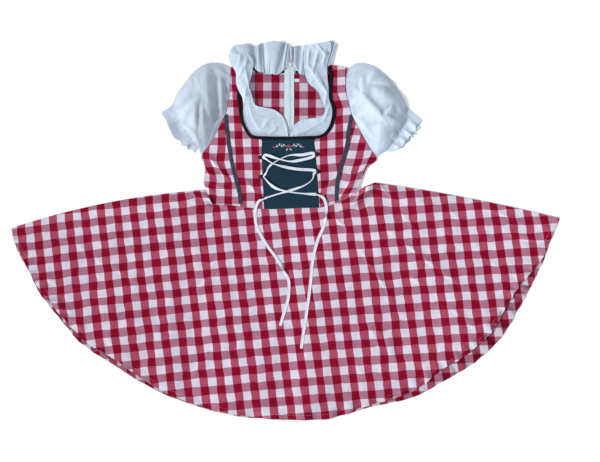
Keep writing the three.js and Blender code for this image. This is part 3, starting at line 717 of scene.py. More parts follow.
def shell(over, under, uv, around=False, shade=None):
    """A closed cloth shell between two grids of points; around closes it into a tube."""
    rows, columns = over.shape[:2]
    count = rows * columns
    index = np.arange(count).reshape(rows, columns)
    if around:
        index = np.hstack([index, index[:, :1]])
    a, b, c, d = index[:-1, :-1], index[1:, :-1], index[1:, 1:], index[:-1, 1:]
    top = np.stack([a, b, c, d], -1).reshape(-1, 4)
    faces = [top, top[:, ::-1] + count]
    rims = [(a[0], d[0]), (c[-1], b[-1])]
    if not around:
        rims += [(b[:, 0], a[:, 0]), (d[:, -1], c[:, -1])]
    faces += [np.stack([p, q, q + count, p + count], -1) for p, q in rims]
    points = np.vstack([over.reshape(-1, 3), under.reshape(-1, 3)])
    flat = np.vstack([uv.reshape(-1, 2)] * 2)
    # tone: the painted shade share of each point, for the Shade attribute
    tone = np.zeros(2 * count) if shade is None else np.tile(shade.ravel(), 2)
    return points, outward(points, faces), flat, tone


def laid(over, uv, thick=FABRIC, **more):
    """A shell whose underside lies straight below its top."""
    return shell(over, over - [0, 0, thick], uv, **more)


def tube(path, half_wide, half_high, sides=10, up=(0, 0, 1)):
    """A cord or piping along a path; its section is an ellipse, its widths may vary."""
    path = np.asarray(path, float)
    way = unit(np.gradient(path, axis=0))
    side = unit(np.cross(way, up))
    top = np.cross(side, way)
    angle = np.linspace(0, 2 * math.pi, sides, endpoint=False)
    wide = np.broadcast_to(half_wide, len(path))[:, None, None]
    high = np.broadcast_to(half_high, len(path))[:, None, None]
    ring = (side[:, None] * np.cos(angle)[None, :, None] * wide
            + top[:, None] * np.sin(angle)[None, :, None] * high)
    points = (path[:, None] + ring).reshape(-1, 3)
    index = np.arange(len(points)).reshape(len(path), sides)
    a, b = index[:-1], index[1:]
    walls = np.stack([a, np.roll(a, -1, 1), np.roll(b, -1, 1), b], -1).reshape(-1, 4)
    faces = [walls, index[:1, ::-1], index[-1:]]
    run = run_along(path)
    uv = np.stack(np.broadcast_arrays(angle[None] / 12, run[:, None] / CHECK), -1)
    return points, outward(points, faces), uv.reshape(-1, 2), np.zeros(len(points))


def piece(name, parts, material, nodes):
    """One Blender piece from parts, each with its material; it stands for CAD nodes."""
    materials = material if isinstance(material, list) else [material] * len(parts)
    used = list(dict.fromkeys(materials))
    points = np.vstack([part[0] for part in parts]) * MM
    uv = np.vstack([part[2] for part in parts])
    # tone: the painted shade shares of all points, stored below in the Shade attribute
    tone = np.concatenate([part[3] for part in parts])
    faces, kinds, start = [], [], 0
    for part, finish in zip(parts, materials):
        for block in part[1]:
            faces += (block + start).tolist()
            kinds += [used.index(finish)] * len(block)
        start += len(part[0])
    mesh = bpy.data.meshes.new(name)
    mesh.from_pydata(points.tolist(), [], faces)
    for finish in used:
        mesh.materials.append(finish)
    mesh.polygons.foreach_set("material_index", kinds)
    mesh.polygons.foreach_set("use_smooth", [True] * len(faces))
    corners = np.empty(len(mesh.loops), int)
    mesh.loops.foreach_get("vertex_index", corners)
    layer = mesh.uv_layers.new(name="Cloth")
    layer.data.foreach_set("uv", uv[corners].ravel())
    shade = mesh.attributes.new("Shade", "FLOAT", "POINT")
    shade.data.foreach_set("value", tone)
    mesh.set_sharp_from_angle(angle=math.radians(55))
    mesh.update()
    made = bpy.data.objects.new(name, mesh)
    bpy.context.collection.objects.link(made)
    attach(made, "root")
    if nodes:
        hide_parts(*nodes)
    return made


def stitches(path, step=3.4, long=2.3, radius=0.22, lift_by=0.1):
    """A line of small stitches along a path of points, each a low oval."""
    path = np.asarray(path, float)
    run = run_along(path)
    size = [radius * 0.3, radius, radius * 0.3]
    parts = []
    for at in np.arange(step, run[-1] - step, step):
        ends = [[np.interp(at + d, run, path[:, k]) for k in range(3)]
                for d in (-long / 2, 0, long / 2)]
        parts.append(tube(np.array(ends) + [0, 0, lift_by], size, size, sides=5))
    return joined(parts)


def joined(parts):
    """Several parts as one."""
    start, faces = 0, []
    for part in parts:
        faces += [block + start for block in part[1]]
        start += len(part[0])
    return (np.vstack([part[0] for part in parts]), faces,
            np.vstack([part[2] for part in parts]), np.concatenate([part[3] for part in parts]))


# ---- camera --------------------------------------------------------------------------------------
def add_camera():
    camera = bpy.data.cameras.new("camera")
    camera.sensor_width = SENSOR
    camera.lens = SENSOR * CAMERA_HEIGHT / VIEW_WIDTH
    holder = bpy.data.objects.new("camera", camera)
    holder.location = (*VIEW_CENTRE, CAMERA_HEIGHT)
    bpy.context.collection.objects.link(holder)
    bpy.context.scene.camera = holder


add_camera()


# ---- heights of the front layer --------------------------------------------------------------------
def front_base(x):
    return FRONT_EDGE + FRONT_CROWN * np.clip(1 - (x / BODICE_HALF) ** 4, 0, None)


def bodice_relief(x, y):
    fine = 0.25 * crumple(x, y, 46, 1.3) + 0.12 * crumple(x, y, 21, 4.1)
    return 1.3 * crease_height(BODICE_CREASES, x, y) + fine + 0.2


def skirt_relief(x, y):
    fine = 0.32 * crumple(x, y, 95, 0.7) + 0.2 * crumple(x, y, 43, 2.9)
    return 1.6 * crease_height(SKIRT_CREASES, x, y) + fine + 0.3


def front_top(x, y):
    """Top of the bodice's front layer."""
    return front_base(x) + 1.0 + bodice_relief(x, y)


def skirt_top_mid(x, y):
    """Top of the skirt's front layer near its middle, where no large fold reaches."""
    return FRONT_EDGE + FRONT_CROWN + 1.0 + skirt_relief(x, y)


# ---- the lace's free tails -----------------------------------------------------------------------
def ribbon(path, width, thick, roll, cup=0.25, columns=6):
    """A flat ribbon along a path; roll turns it about its own line, in turns."""
    way = unit(np.gradient(path, axis=0))
    side = unit(np.cross(way, [0, 0, 1]))
    up = np.cross(side, way)
    angle = 2 * math.pi * np.broadcast_to(roll, len(path))[:, None]
    turned = side * np.cos(angle) + up * np.sin(angle)
    normal = up * np.cos(angle) - side * np.sin(angle)
    place = np.linspace(-0.5, 0.5, columns + 1)
    wide = np.broadcast_to(width, len(path))
    bow = cup * (1 - 4 * place**2)
    middle = (path[:, None] + turned[:, None] * (place[None, :] * wide[:, None])[..., None]
              + normal[:, None] * bow[None, :, None])
    run = run_along(path)
    u = np.broadcast_to(place[None] * LACE_WIDTH, (len(path), columns + 1))
    v = np.broadcast_to(run[:, None], u.shape)
    return shell(middle + normal[:, None] * thick / 2, middle - normal[:, None] * thick / 2,
                 np.stack([u, v], -1) / CHECK)


def nearest_loop(point):
    ends = ((x + 2.6 * facing, y) for _, x, y, facing in LOOPS)
    return min(ends, key=lambda loop: math.dist(loop, point))


def lace_tail(side, route, twist_at, twist_turns, height_gain):
    """A free tail of the lace: from its loop over the waist seam and down the skirt."""
    x, y = np.array([nearest_loop(route[0]), *route], float).T
    t = np.linspace(0, 1, 181)
    plan = edge(x, y)(t)
    twist = twist_turns * ease(t, twist_at - 0.05, twist_at + 0.05)
    on_edge = np.abs(np.sin(2 * math.pi * twist)) * LACE_WIDTH / 2
    over_loop = (LOOP_THICK + 2 * SEAM) * ease(plan[:, 1], 40, 68)
    rest = np.maximum(skirt_top_mid(plan[:, 0], plan[:, 1]),
                      LACE_BASE + 0.3 * ease(plan[:, 1], 30, 60))
    z = rest + LACE_THICK / 2 + 0.15 + over_loop + 0.6 * on_edge + height_gain * np.sin(9 * t) ** 2
    path = lift(plan, z)
    end = np.minimum(1, (1.0 - t) / 0.004 + 0.75) * (0.5 + 0.5 * ease(t, 0, 0.06))
    made = piece("lace_tail_%s_ribbon" % side, [ribbon(path, LACE_WIDTH * end, LACE_THICK, twist)],
                 SATIN, ["lace_tail_" + side])


lace_tail("left", TAIL_LEFT, 0.60, 0.5, 0.4)
lace_tail("right", TAIL_RIGHT, 0.22, 0.5, 0.3)


# ---- skirt ---------------------------------------------------------------------------------------
def skirt_gingham(x, y):
    """Halves are red, wholes are white."""
    columns = (x + (COLUMN_LEAN + COLUMN_LEAN_GAIN * x) * y) / CHECK + COLUMN_START
    level = y - ROW_TILT * x + ROW_BOW * x**2
    rows = level / ROW_PITCH + ROW_GROWTH * level**2 + ROW_START
    return np.stack([columns, rows], -1)


def skirt_plan(t, s, inset):
    """The skirt's fan; t runs round it, s from waist to hem, which is drawn in by an inset."""
    waist, hem = (curve(t) for curve in two_edges(SKIRT))
    hem = hem - unit(hem - waist) * inset[..., None]
    bow = SKIRT_BOW_LEFT * (1 - t) ** SKIRT_BOW_FADE + SKIRT_BOW_RIGHT * t**SKIRT_BOW_FADE
    return across(waist, hem, s, bow)


def skirt_folds(t, s):
    rise = 0.0
    for at, start, end, width, height in SKIRT_FOLDS:
        along = np.sin(math.pi * np.clip((s - start) / (end - start), 0, 1))
        rise = rise + height * along * np.exp(-(((t - at) / width) ** 2))
    return rise


def hem_ripple(t, size, seed):
    """Uneven wander of a hem, in millimetres."""
    a = np.sin(2 * math.pi * (7.3 * t + 0.2 * seed)) + 0.7 * np.sin(2 * math.pi * (17.7 * t + seed))
    return size * (a + 0.6 * np.sin(2 * math.pi * (41.3 * t + 0.6 * seed))) / 2


def skirt_front():
    t, s = grid(345, 136)
    inset = column(SKIRT["inset"])(t) + 1.5 + hem_ripple(t, 1.8, 0.4) * ease(t, 0.02, 0.1)
    plan = skirt_plan(t, s, inset)
    x, y = plan[..., 0], plan[..., 1]
    base = FRONT_EDGE + FRONT_CROWN * (1 - np.abs(2 * t - 1) ** 4)
    ends = ease(t, 0, 0.03) * ease(t, 1, 0.97)
    ripple = 1.8 * ease(s, 0.93, 1) * np.sin(2 * math.pi * (38 * t + 2.5 * np.sin(9 * t))) * ends
    waves = skirt_relief(x, y) * (0.25 + 0.75 * ends) + ripple
    z = np.maximum(base + skirt_folds(t, s) + waves, base - 0.35) + 1.0
    slip = crease_slip(SKIRT_CREASES, x, y)
    phase = skirt_gingham(x + slip[..., 0], y + slip[..., 1])
    phase = phase + 0.045 * np.stack([crumple(x, y, 88, 5.1), crumple(x, y, 74, 8.3)], -1)
    cloth = laid(lift(plan, z), phase, shade=hollow(z, 0.5, 0.12))
    piece("skirt_front_cloth", [cloth], GINGHAM, ["skirt_front"])
    hem = lift(plan, z)[2:-2, -4]
    piece("skirt_front_hem_stitches", [stitches(hem, 6.0, 3.2)], THREAD_WHITE, [])


def skirt_back():
    t, s = grid(210, 60)
    plan = skirt_plan(t, s, 0.6 + np.abs(hem_ripple(t, 2.0, 1.9)))
    x, y = plan[..., 0], plan[..., 1]
    near_hem = ease(s, 0.90, 0.985)
    right = ease(t, 0.60, 0.68) * ease(t, 0.90, 0.84)
    left = ease(t, 0.08, 0.13) * ease(t, 0.34, 0.26)
    side = right + 0.6 * left
    gather = np.abs(np.sin(math.pi * (64 * t + 1.4 * np.sin(21 * t)))) ** 1.5
    z = 0.15 + FABRIC + near_hem * side * 3.0 * gather
    phase = skirt_gingham(x, y) + [0.35, 0.25]
    under = lift(plan, np.maximum(z - FABRIC, 0.05))
    cloth = shell(lift(plan, z), under, phase, shade=hollow(z, 0.5, 0.16))
    return piece("skirt_back_cloth", [cloth], GINGHAM_SHADED, ["skirt_back"])


skirt_front()
skirt_back()


# ---- bodice --------------------------------------------------------------------------------------
waist_line = two_edges(SKIRT)[0](np.linspace(0, 1, 170))


def waist_y(x):
    return np.interp(x, waist_line[:, 0], waist_line[:, 1])


def stretch_of(curve, start, end, shift=0.0):
    return lambda t: curve(mix(start, end, t)) + [shift, 0]


arm_left, arm_right = one_edge(OUTLINE_LEFT), one_edge(OUTLINE_RIGHT)
left_outer, left_inner = two_edges(FRONT_LEFT)
right_outer, right_inner = two_edges(FRONT_RIGHT)


def checks(x, y, wide, high):
    """Repeats of the gingham; x and y are measured from the middle of a red check."""
    return np.stack([x / wide + 0.5, y / high + 0.5], -1)


def front_left_gingham(x, y):
    return checks(x + 112 + 0.058 * (y - 195), y - 194.7, 38.5, 38)


def side_left_gingham(x, y):
    slip = 15 * ease(y, 180, 115)
    return checks(x + 155 - slip, y - 217.6, 38.5, 36)


def front_right_gingham(x, y):
    slip = 14 * ease(y, 290, 345)
    return checks(x - 130.5 + slip, y - 189 - 0.09 * (x - 80), 38, 37.8)


def side_right_gingham(x, y):
    return checks(x - 184.7 + 0.3 * (208 - y), y - 205, 38, 36)


def back_left_gingham(x, y):
    return checks(x + 64.7, y - 331.5, CHECK, 39.5)


def back_right_gingham(x, y):
    return checks(x - 63.9, y - 329.9, CHECK, CHECK)


def plain_uv(x, y):
    return np.stack([x, y], -1) / CHECK


def panel_plan(t, s, a, b):
    """Points of a bodice panel between edges a and b; its foot follows the waist seam."""
    plan = across(a(t), b(t), s)
    foot = across(a(np.ones_like(t)), b(np.ones_like(t)), s)
    share = np.clip((FOOT_TOP - plan[..., 1]) / (FOOT_TOP - foot[..., 1]), 0, 1)
    plan[..., 1] += (waist_y(foot[..., 0]) + WAIST_GAP - foot[..., 1]) * share**2
    return plan


def front_panel(node, a, b, phase, along, wide, material=GINGHAM):
    t, s = grid(along, wide)
    plan = panel_plan(t, s, a, b)
    x, y = plan[..., 0], plan[..., 1]
    z = np.maximum(front_top(x, y), front_base(x) + 0.7)
    slip = crease_slip(BODICE_CREASES, x, y)
    uv = phase(x + slip[..., 0], y + slip[..., 1])
    cloth = laid(lift(plan, z), uv, shade=hollow(z, 0.45, 0.12))
    piece(node + "_cloth", [cloth], material, [node])


def back_panel(node, a, b, phase):
    t, s = grid(120, 56)
    plan = panel_plan(t, s, a, b)
    x, y = plan[..., 0], plan[..., 1]
    z = 0.55 + FABRIC / 2 + 0.12 * crumple(x, y, 60, 2.2)
    over = lift(plan, z + FABRIC / 2)
    under = lift(plan, np.maximum(z - FABRIC / 2, 0.05))
    cloth = shell(over, under, phase(x, y), shade=hollow(z, 0.8, 0.12))
    piece(node + "_cloth", [cloth], GINGHAM_SHADED, [node])


def bodice():
    side_left = stretch_of(left_outer, SIDE_LEFT_FROM, 1, -SEAM)
    side_right = stretch_of(right_outer, SIDE_RIGHT_FROM, 1, SEAM)
    front_panel("front_left", left_outer, left_inner, front_left_gingham, 150, 34)
    front_panel("front_right", right_outer, right_inner, front_right_gingham, 150, 34)
    front_panel("side_front_left", one_edge(SIDE_LEFT), side_left, side_left_gingham, 90, 40)
    front_panel("side_front_right", one_edge(SIDE_RIGHT), side_right, side_right_gingham, 90, 40)
    front_panel("plastron", stretch_of(left_inner, NECK_SHARE, 1, SEAM),
                stretch_of(right_inner, NECK_SHARE, 1, -SEAM), plain_uv, 70, 54, PLASTRON)
    back_panel("back_left", arm_left, one_edge(BACK_LEFT), back_left_gingham)
    back_panel("back_right", arm_right, one_edge(BACK_RIGHT), back_right_gingham)


def princess_ribbon(side, curve, start, end):
    """A ribbon over a princess seam, stitched down along both edges."""
    t, s = grid(110, 6)
    place = mix(start, end, t)
    ahead = np.minimum(place + 0.01, 1)
    normal = unit(beside(curve(ahead) - curve(ahead - 0.02)))
    wide = PRINCESS_RIBBON_WIDTH + 0.4 * np.sin(23 * t + 2)
    plan = curve(place) + normal * ((s - 0.5) * wide)[..., None]
    x, y = plan[..., 0], plan[..., 1]
    z = front_top(x, y) + 0.8 + 0.15 * np.sin(math.pi * s) + 0.12 * np.sin(60 * t)
    over = lift(plan, z)
    uv = np.stack([s * wide, t * 240], -1) / CHECK
    parts = [laid(over, uv), stitches(over[2:-2, 1]), stitches(over[2:-2, -2])]
    piece("ribbon_%s_band" % side, parts, [SLATE, THREAD_DARK, THREAD_DARK],
          ["ribbon_" + side])


bodice()
princess_ribbon("left", left_outer, 0.365, 0.985)
princess_ribbon("right", right_outer, 0.415, 0.985)


# ---- neckline ------------------------------------------------------------------------------------
def neck_bindings():
    """Bias binding round the neckline, slightly puckered by its stitching."""
    share = np.linspace(0, NECK_SHARE, 120)
    route = np.vstack([left_inner(share), right_inner(share[::-1])])
    normal = unit(beside(np.gradient(route, axis=0)))
    route = route + normal * 1.3
    span = 11
    padded = np.pad(route, ((span // 2, span // 2), (0, 0)), mode="edge")
    route = np.stack([np.convolve(padded[:, k], np.ones(span) / span, "valid") for k in (0, 1)], -1)
    t = np.linspace(0, 1, len(route))
    pucker = 0.12 * np.sin(2 * math.pi * 61 * t) + 0.1 * np.sin(2 * math.pi * 23.5 * t)
    path = lift(route, 6.6 + pucker)
    seam = lift(route - normal * 1.7, 7.35 + 0 * t)
    piece("neck_binding_front_band", [tube(path, 3.7 + pucker, 1.6 + pucker, 14), stitches(seam)],
          [PIPING, THREAD_DARK], ["neck_binding_front"])
    for side, rows in (("left", BACK_NECK_LEFT), ("right", BACK_NECK_RIGHT)):
        path = lift(one_edge(rows)(np.linspace(0, 1, 50)), 3.05)
        piece("neck_binding_back_%s_band" % side, [tube(path, 3, 1.45, 12)], PIPING,
              ["neck_binding_back_" + side])


neck_bindings()


# ---- neck frill ----------------------------------------------------------------------------------
FRILL_LEFT_FOLDS = (  # where along the frill, width before and after it, height, squareness
    (0.06, 0.07, 0.08, 3.0, 1.3), (0.25, 0.11, 0.09, 5.0, 1.5), (0.42, 0.06, 0.05, 5.5, 1.4),
    (0.635, 0.13, 0.13, 9.0, 4.0), (0.87, 0.06, 0.06, 5.0, 1.5), (0.97, 0.04, 0.04, 5.5, 1.5))
FRILL_RIGHT_FOLDS = (
    (0.03, 0.04, 0.06, 5.5, 1.4), (0.19, 0.11, 0.11, 4.0, 1.6), (0.39, 0.05, 0.08, 7.0, 1.5),
    (0.58, 0.09, 0.07, 5.5, 1.6), (0.72, 0.06, 0.08, 4.5, 1.4), (0.87, 0.07, 0.03, 6.0, 1.3),
    (0.96, 0.03, 0.05, 3.5, 1.3))


def frill(side, rows, folds, cover_from, cover_to, shaded):
    """A gathered strip that stands on the neckline and falls outwards in uneven folds."""
    t, s = grid(230, 40)
    a, b = two_edges(rows)
    plan = across(a(t), b(t), s)
    droop = np.abs(np.sin(math.pi * (7 * t + 0.4 * np.sin(11 * t)))) * 2.5
    cover = (6.5 + droop) * ease(t, *cover_from) * ease(t, *cover_to)
    plan[..., 1] -= cover * (1 - s) ** 2
    rise = np.zeros_like(t)
    for at, before, after, height, square in folds:
        off = (t - at) / np.where(t < at, before, after) / (0.8 + 0.2 * s)
        rise = np.maximum(rise, height * (1 - np.abs(off) ** square) * ease(s, -0.35, 0.6))
    gathers = np.abs(np.sin(math.pi * (19 * t + 1.2 * np.sin(13 * t)))) * 1.8 * ease(s, 0.6, 0.0)
    x, y = plan[..., 0], plan[..., 1]
    z = 5.6 - 4.2 * s * s + rise + gathers + 0.35 * crumple(x, y, 24, 3.3)
    z = np.clip(z, 1.0 + FABRIC, 18)
    plan[..., 1] += 1.4 * np.sin(2 * math.pi * 9 * t) * ease(s, 0.9, 1) * ease(t, 0, 0.05)
    shade = hollow(z, 0.09, 0.2)
    for at, width, low, high, share in shaded:
        middle = share * np.exp(-(((t - at) / width) ** 4))
        shade = np.maximum(shade, middle * ease(s, low, low + 0.12) * ease(s, high, high - 0.1))
    hem = lift(plan, z)[3:-3, -3]
    uv = np.stack([t * 300, s * 62], -1) / CHECK
    parts = [laid(lift(plan, z), uv, shade=shade), stitches(hem, *FINE_STITCH)]
    piece("neck_frill_%s_cloth" % side, parts, [COTTON, THREAD_WHITE],
          ["neck_frill_" + side])


frill("left", FRILL_LEFT, FRILL_LEFT_FOLDS, (0.0, 0.12), (0.95, 0.8),
      ((0.32, 0.19, 0.15, 1.2, 0.5), (0.505, 0.02, -0.2, 1.2, 0.85), (0.80, 0.04, -0.2, 1.2, 0.6)))
frill("right", FRILL_RIGHT, FRILL_RIGHT_FOLDS, (0.15, 0.35), (1.3, 1.1),
      ((0.17, 0.13, 0.05, 1.2, 0.55), (0.385, 0.014, -0.2, 0.9, 0.8)))


# ---- front insert --------------------------------------------------------------------------------
INSERT_CREASES = (
    (-28, 245, 48, 42, 9, 1.6, 0.3),
    (-48, 262, 55, 50, 10, 1.4, 0.0),
    (-70, 255, -60, 52, 10, 1.3, 0.4),
    (-85, 290, -75, 60, 9, 1.2, 0.0),
    (-98, 330, 80, 60, 9, 1.6, 0.4),
    (-92, 365, -78, 70, 8, 1.6, 0.0),
    (-106, 390, 60, 60, 9, 1.8, 0.3),
    (-112, 412, 75, 34, 7, 1.5, 0.0),
    (-95, 408, 82, 36, 6, 1.3, 0.0),
    (60, 250, 28, 88, 8, 2.2, 0.3),
    (45, 240, 18, 60, 8, 1.2, 0.0),
    (100, 285, 70, 60, 9, 1.4, 0.0),
    (98, 322, 82, 60, 8, 1.5, 0.3),
    (74, 370, -56, 90, 9, 2.4, 0.3),
    (88, 358, -62, 80, 8, 1.8, 0.0),
    (72, 410, 76, 70, 8, 2.6, 0.0),
    (55, 418, 84, 56, 7, 2.4, 0.0),
    (94, 420, 80, 60, 7, 1.8, 0.2),
    (88, 436, -52, 50, 7, 1.8, 0.0))


def insert(side, rows, ramp_low, ramp_high):
    """The white insert inside the neckline; above the ramp it lies over the strap and frill."""
    t, s = grid(150, 34)
    a, b = two_edges(rows)
    plan = across(a(t), b(t), s)
    x, y = plan[..., 0], plan[..., 1]
    turned = ease(mix(a(t)[..., 1], b(t)[..., 1], 0.3), ramp_low, ramp_high)
    rise = 2.1 * crease_height(INSERT_CREASES, x, y) + 0.9 * crumple(x, y, 30, 5.2)
    puff = INSERT_PUFF * np.sin(math.pi * s)
    z = mix(INSERT_LOW, INSERT_HIGH + puff, turned) + 1.0 + np.maximum(rise, -0.3)
    edge_roll = 1.1 * np.exp(-(((1 - s) / 0.07) ** 2))
    over = lift(plan, z + edge_roll)
    uv = plain_uv(x, y)
    # painted shade: grey towards the outer edge of the lower, unturned part below y 250, and in
    # hollows
    painted_fold_shade = 0.55 * ease(s, 0.9, 0.2) * ease(y, 250, 232) * (1 - turned)
    painted_fold_shade = np.maximum(painted_fold_shade, hollow(over[..., 2], 0.2, 0.14))
    parts = [laid(over, uv, shade=painted_fold_shade), stitches(over[2:-2, -3], *FINE_STITCH)]
    piece("insert_%s_cloth" % side, parts, [COTTON, THREAD_WHITE],
          ["insert_" + side])


insert("left", INSERT_LEFT, 300, 322)
insert("right", INSERT_RIGHT, 345, 385)


# ---- sleeves -------------------------------------------------------------------------------------
SLEEVE_LEFT_FOLDS = (  # x, y, angle, length, width to the left and right of the line, height
    (-153, 385, -30, 60, 10, 16, 5.0),
    (-189, 345, -84, 190, 24, 34, 9.0),
    (-207, 352, -65, 60, 9, 14, 7.0),
    (-228, 300, 41, 100, 16, 22, 8.0),
    (-266, 284, 50, 40, 9, 9, 5.0),
    (-217, 282, -90, 80, 16, 28, 7.5),
    (-198, 270, -88, 140, 30, 14, 7.0),
    (-252, 338, 38, 80, 9, 20, 6.0),
    (-232, 362, -45, 34, 8, 10, 6.0),
    (-154, 325, -86, 120, 12, 13, 6.0),
    (-172, 238, 62, 80, 14, 15, 5.0),
    (-232, 240, -44, 70, 10, 16, 4.5),
    (-176, 397, 20, 60, 12, 12, 4.5))
SLEEVE_RIGHT_FOLDS = (
    (212, 296, -50, 130, 10, 34, 9.0),
    (250, 268, -27, 70, 9, 20, 6.0),
    (226, 236, -95, 96, 24, 22, 7.0),
    (185, 345, -90, 60, 17, 11, 6.0),
    (210, 377, -118, 54, 14, 12, 5.5),
    (242, 358, -2, 84, 18, 9, 5.0),
    (158, 379, 0, 26, 4, 4, 2.0),
    (160, 367, -4, 30, 4, 4, 2.0),
    (173, 318, 25, 44, 9, 10, 5.0),
    (200, 286, 5, 60, 8, 18, 6.5),
    (198, 240, -50, 120, 14, 8, 5.0),
    (252, 293, 48, 46, 9, 12, 5.0),
    (248, 322, -30, 90, 20, 26, 6.5),
    (272, 306, -62, 60, 10, 12, 4.5),
    (178, 398, 24, 60, 10, 10, 4.0),
    (226, 398, -24, 50, 10, 12, 4.0))


def sleeve(side, rows, armhole, outward_sign, folds, material, seed):
    """A puff sleeve: flat below, crumpled above, gathered by elastic before a ruffled edge."""
    along, half = 96, 54
    t, k = np.meshgrid(np.linspace(0, 1, along + 1), np.arange(2 * half), indexing="ij")
    upper = k >= half
    turn = np.where(upper, 2 * half - 1 - k, k) / (half - 1)
    s = 0.5 - 0.5 * np.cos(math.pi * turn)
    a, b = two_edges(rows)
    bow, height = column(rows["bow"]), column(rows["height"])
    across_share = mix(SLEEVE_MARGIN, 1 - SLEEVE_MARGIN, s)
    short = 0.022 * np.sin(math.pi * s) ** 0.5 * upper
    place = t * (1 - short)
    plan = across(a(place), b(place), across_share, bow(place))
    start = across(a(0 * t), b(0 * t), across_share, bow(0 * t))
    seam = armhole(across_share * ARMHOLE_SHARE)
    seam = seam + np.stack([outward_sign * ARMHOLE_GAP + 0 * t, ARMHOLE_GAP * s**4], -1)
    plan = plan + (seam - start) * ((1 - t) ** 3)[..., None]
    x, y = plan[..., 0], plan[..., 1]

    beyond = ease(place, RUFFLE_FROM, 1)
    near = np.exp(-(((place - RUFFLE_FROM) / 0.09) ** 2))
    phase = 12.5 * s + 0.9 * np.sin(9 * s + seed)
    gather = np.sin(2 * math.pi * phase) * near * 1.3
    ruffle = np.sin(2 * math.pi * (3.3 * s + 0.5 * np.sin(5 * s + seed))) * beyond * 5.0
    shoulder = np.sin(2 * math.pi * (13 * s + 0.8 * np.sin(7 * s + seed)))
    shoulder = shoulder * 1.1 * ease(t, 0.16, 0.0) * ease(t, 0.0, 0.02) * ease(s, 0.75, 0.4)
    body = np.sin(math.pi * s)
    dome = SLEEVE_EDGE + (height(place) - SLEEVE_EDGE) * body**0.8
    wrinkle = 1.1 * tent_height(folds, x, y) + 0.8 * crumple(x, y, 46, seed)
    wrinkle = wrinkle + 0.6 * crumple(x, y, 24, seed + 2) - 3.2
    wrinkle = wrinkle * body**0.6 * ease(t, 0.0, 0.12) * ease(place, 1.0, 0.85)
    bumps = (gather + ruffle + shoulder) * np.minimum(1, 2.2 * body) + wrinkle
    top = np.maximum(dome - 1.5 - 4.5 * beyond + bumps, SLEEVE_EDGE * 0.6 + 2.4 * body)
    low = 0.12 + np.maximum(0, 0.5 * (gather + ruffle)) * body
    middle = SLEEVE_EDGE / 2
    round_edge = np.sqrt(np.clip(1 - (1 - np.minimum(1, 4 * body)) ** 2, 0, 1))
    skin = np.where(upper, mix(middle, top, round_edge), mix(middle, low, round_edge))
    inner = np.where(upper, skin - FABRIC * round_edge, skin + FABRIC * round_edge)
    slip = FABRIC * (1 - round_edge) * np.where(s < 0.5, 1, -1)
    way = unit(b(place) - a(place))
    wave = np.sin(2 * math.pi * (4.3 * s + 0.6 * np.sin(6 * s + seed))) * beyond * 3.4
    plan = plan + beside(way) * -outward_sign * wave[..., None] * 0.8
    outer = lift(plan, skin)
    inside = lift(plan + way * slip[..., None], inner)
    uv = plain_uv(x, y)
    elastic = np.abs(place - RUFFLE_FROM)
    shade = 0.35 * np.exp(-((elastic / 0.02) ** 2)) * (0.5 + 0.5 * np.sin(2 * math.pi * phase))
    shade = np.maximum(shade, hollow(skin, 0.14, 0.16) * upper * (1 - 0.8 * beyond))
    cloth = shell(outer, inside, uv, around=True, shade=shade)
    hem = stitches(outer[-4, half + 3:-3], *FINE_STITCH)
    piece("sleeve_%s_cloth" % side, [cloth, hem], [material, THREAD_WHITE],
          ["sleeve_" + side])


sleeve("left", SLEEVE_LEFT, arm_left, -1, SLEEVE_LEFT_FOLDS, COTTON_SHADED_LEFT, 1.1)
sleeve("right", SLEEVE_RIGHT, arm_right, 1, SLEEVE_RIGHT_FOLDS, COTTON, 3.6)


# ---- zip and label -------------------------------------------------------------------------------
def zip_tape(low_x, high_x, top):
    """One tape of the zip, slightly rippled along its length."""
    t, s = grid(110, 8)
    plan = np.stack([mix(low_x, high_x, s), mix(ZIP_TOP, ZIP_BOTTOM, t)], -1)
    z = top + 0.12 * np.sin(37 * t + 5 * s) + 0.1 * np.sin(math.pi * s)
    uv = plan / CHECK
    return laid(lift(plan, z), uv, 0.7)


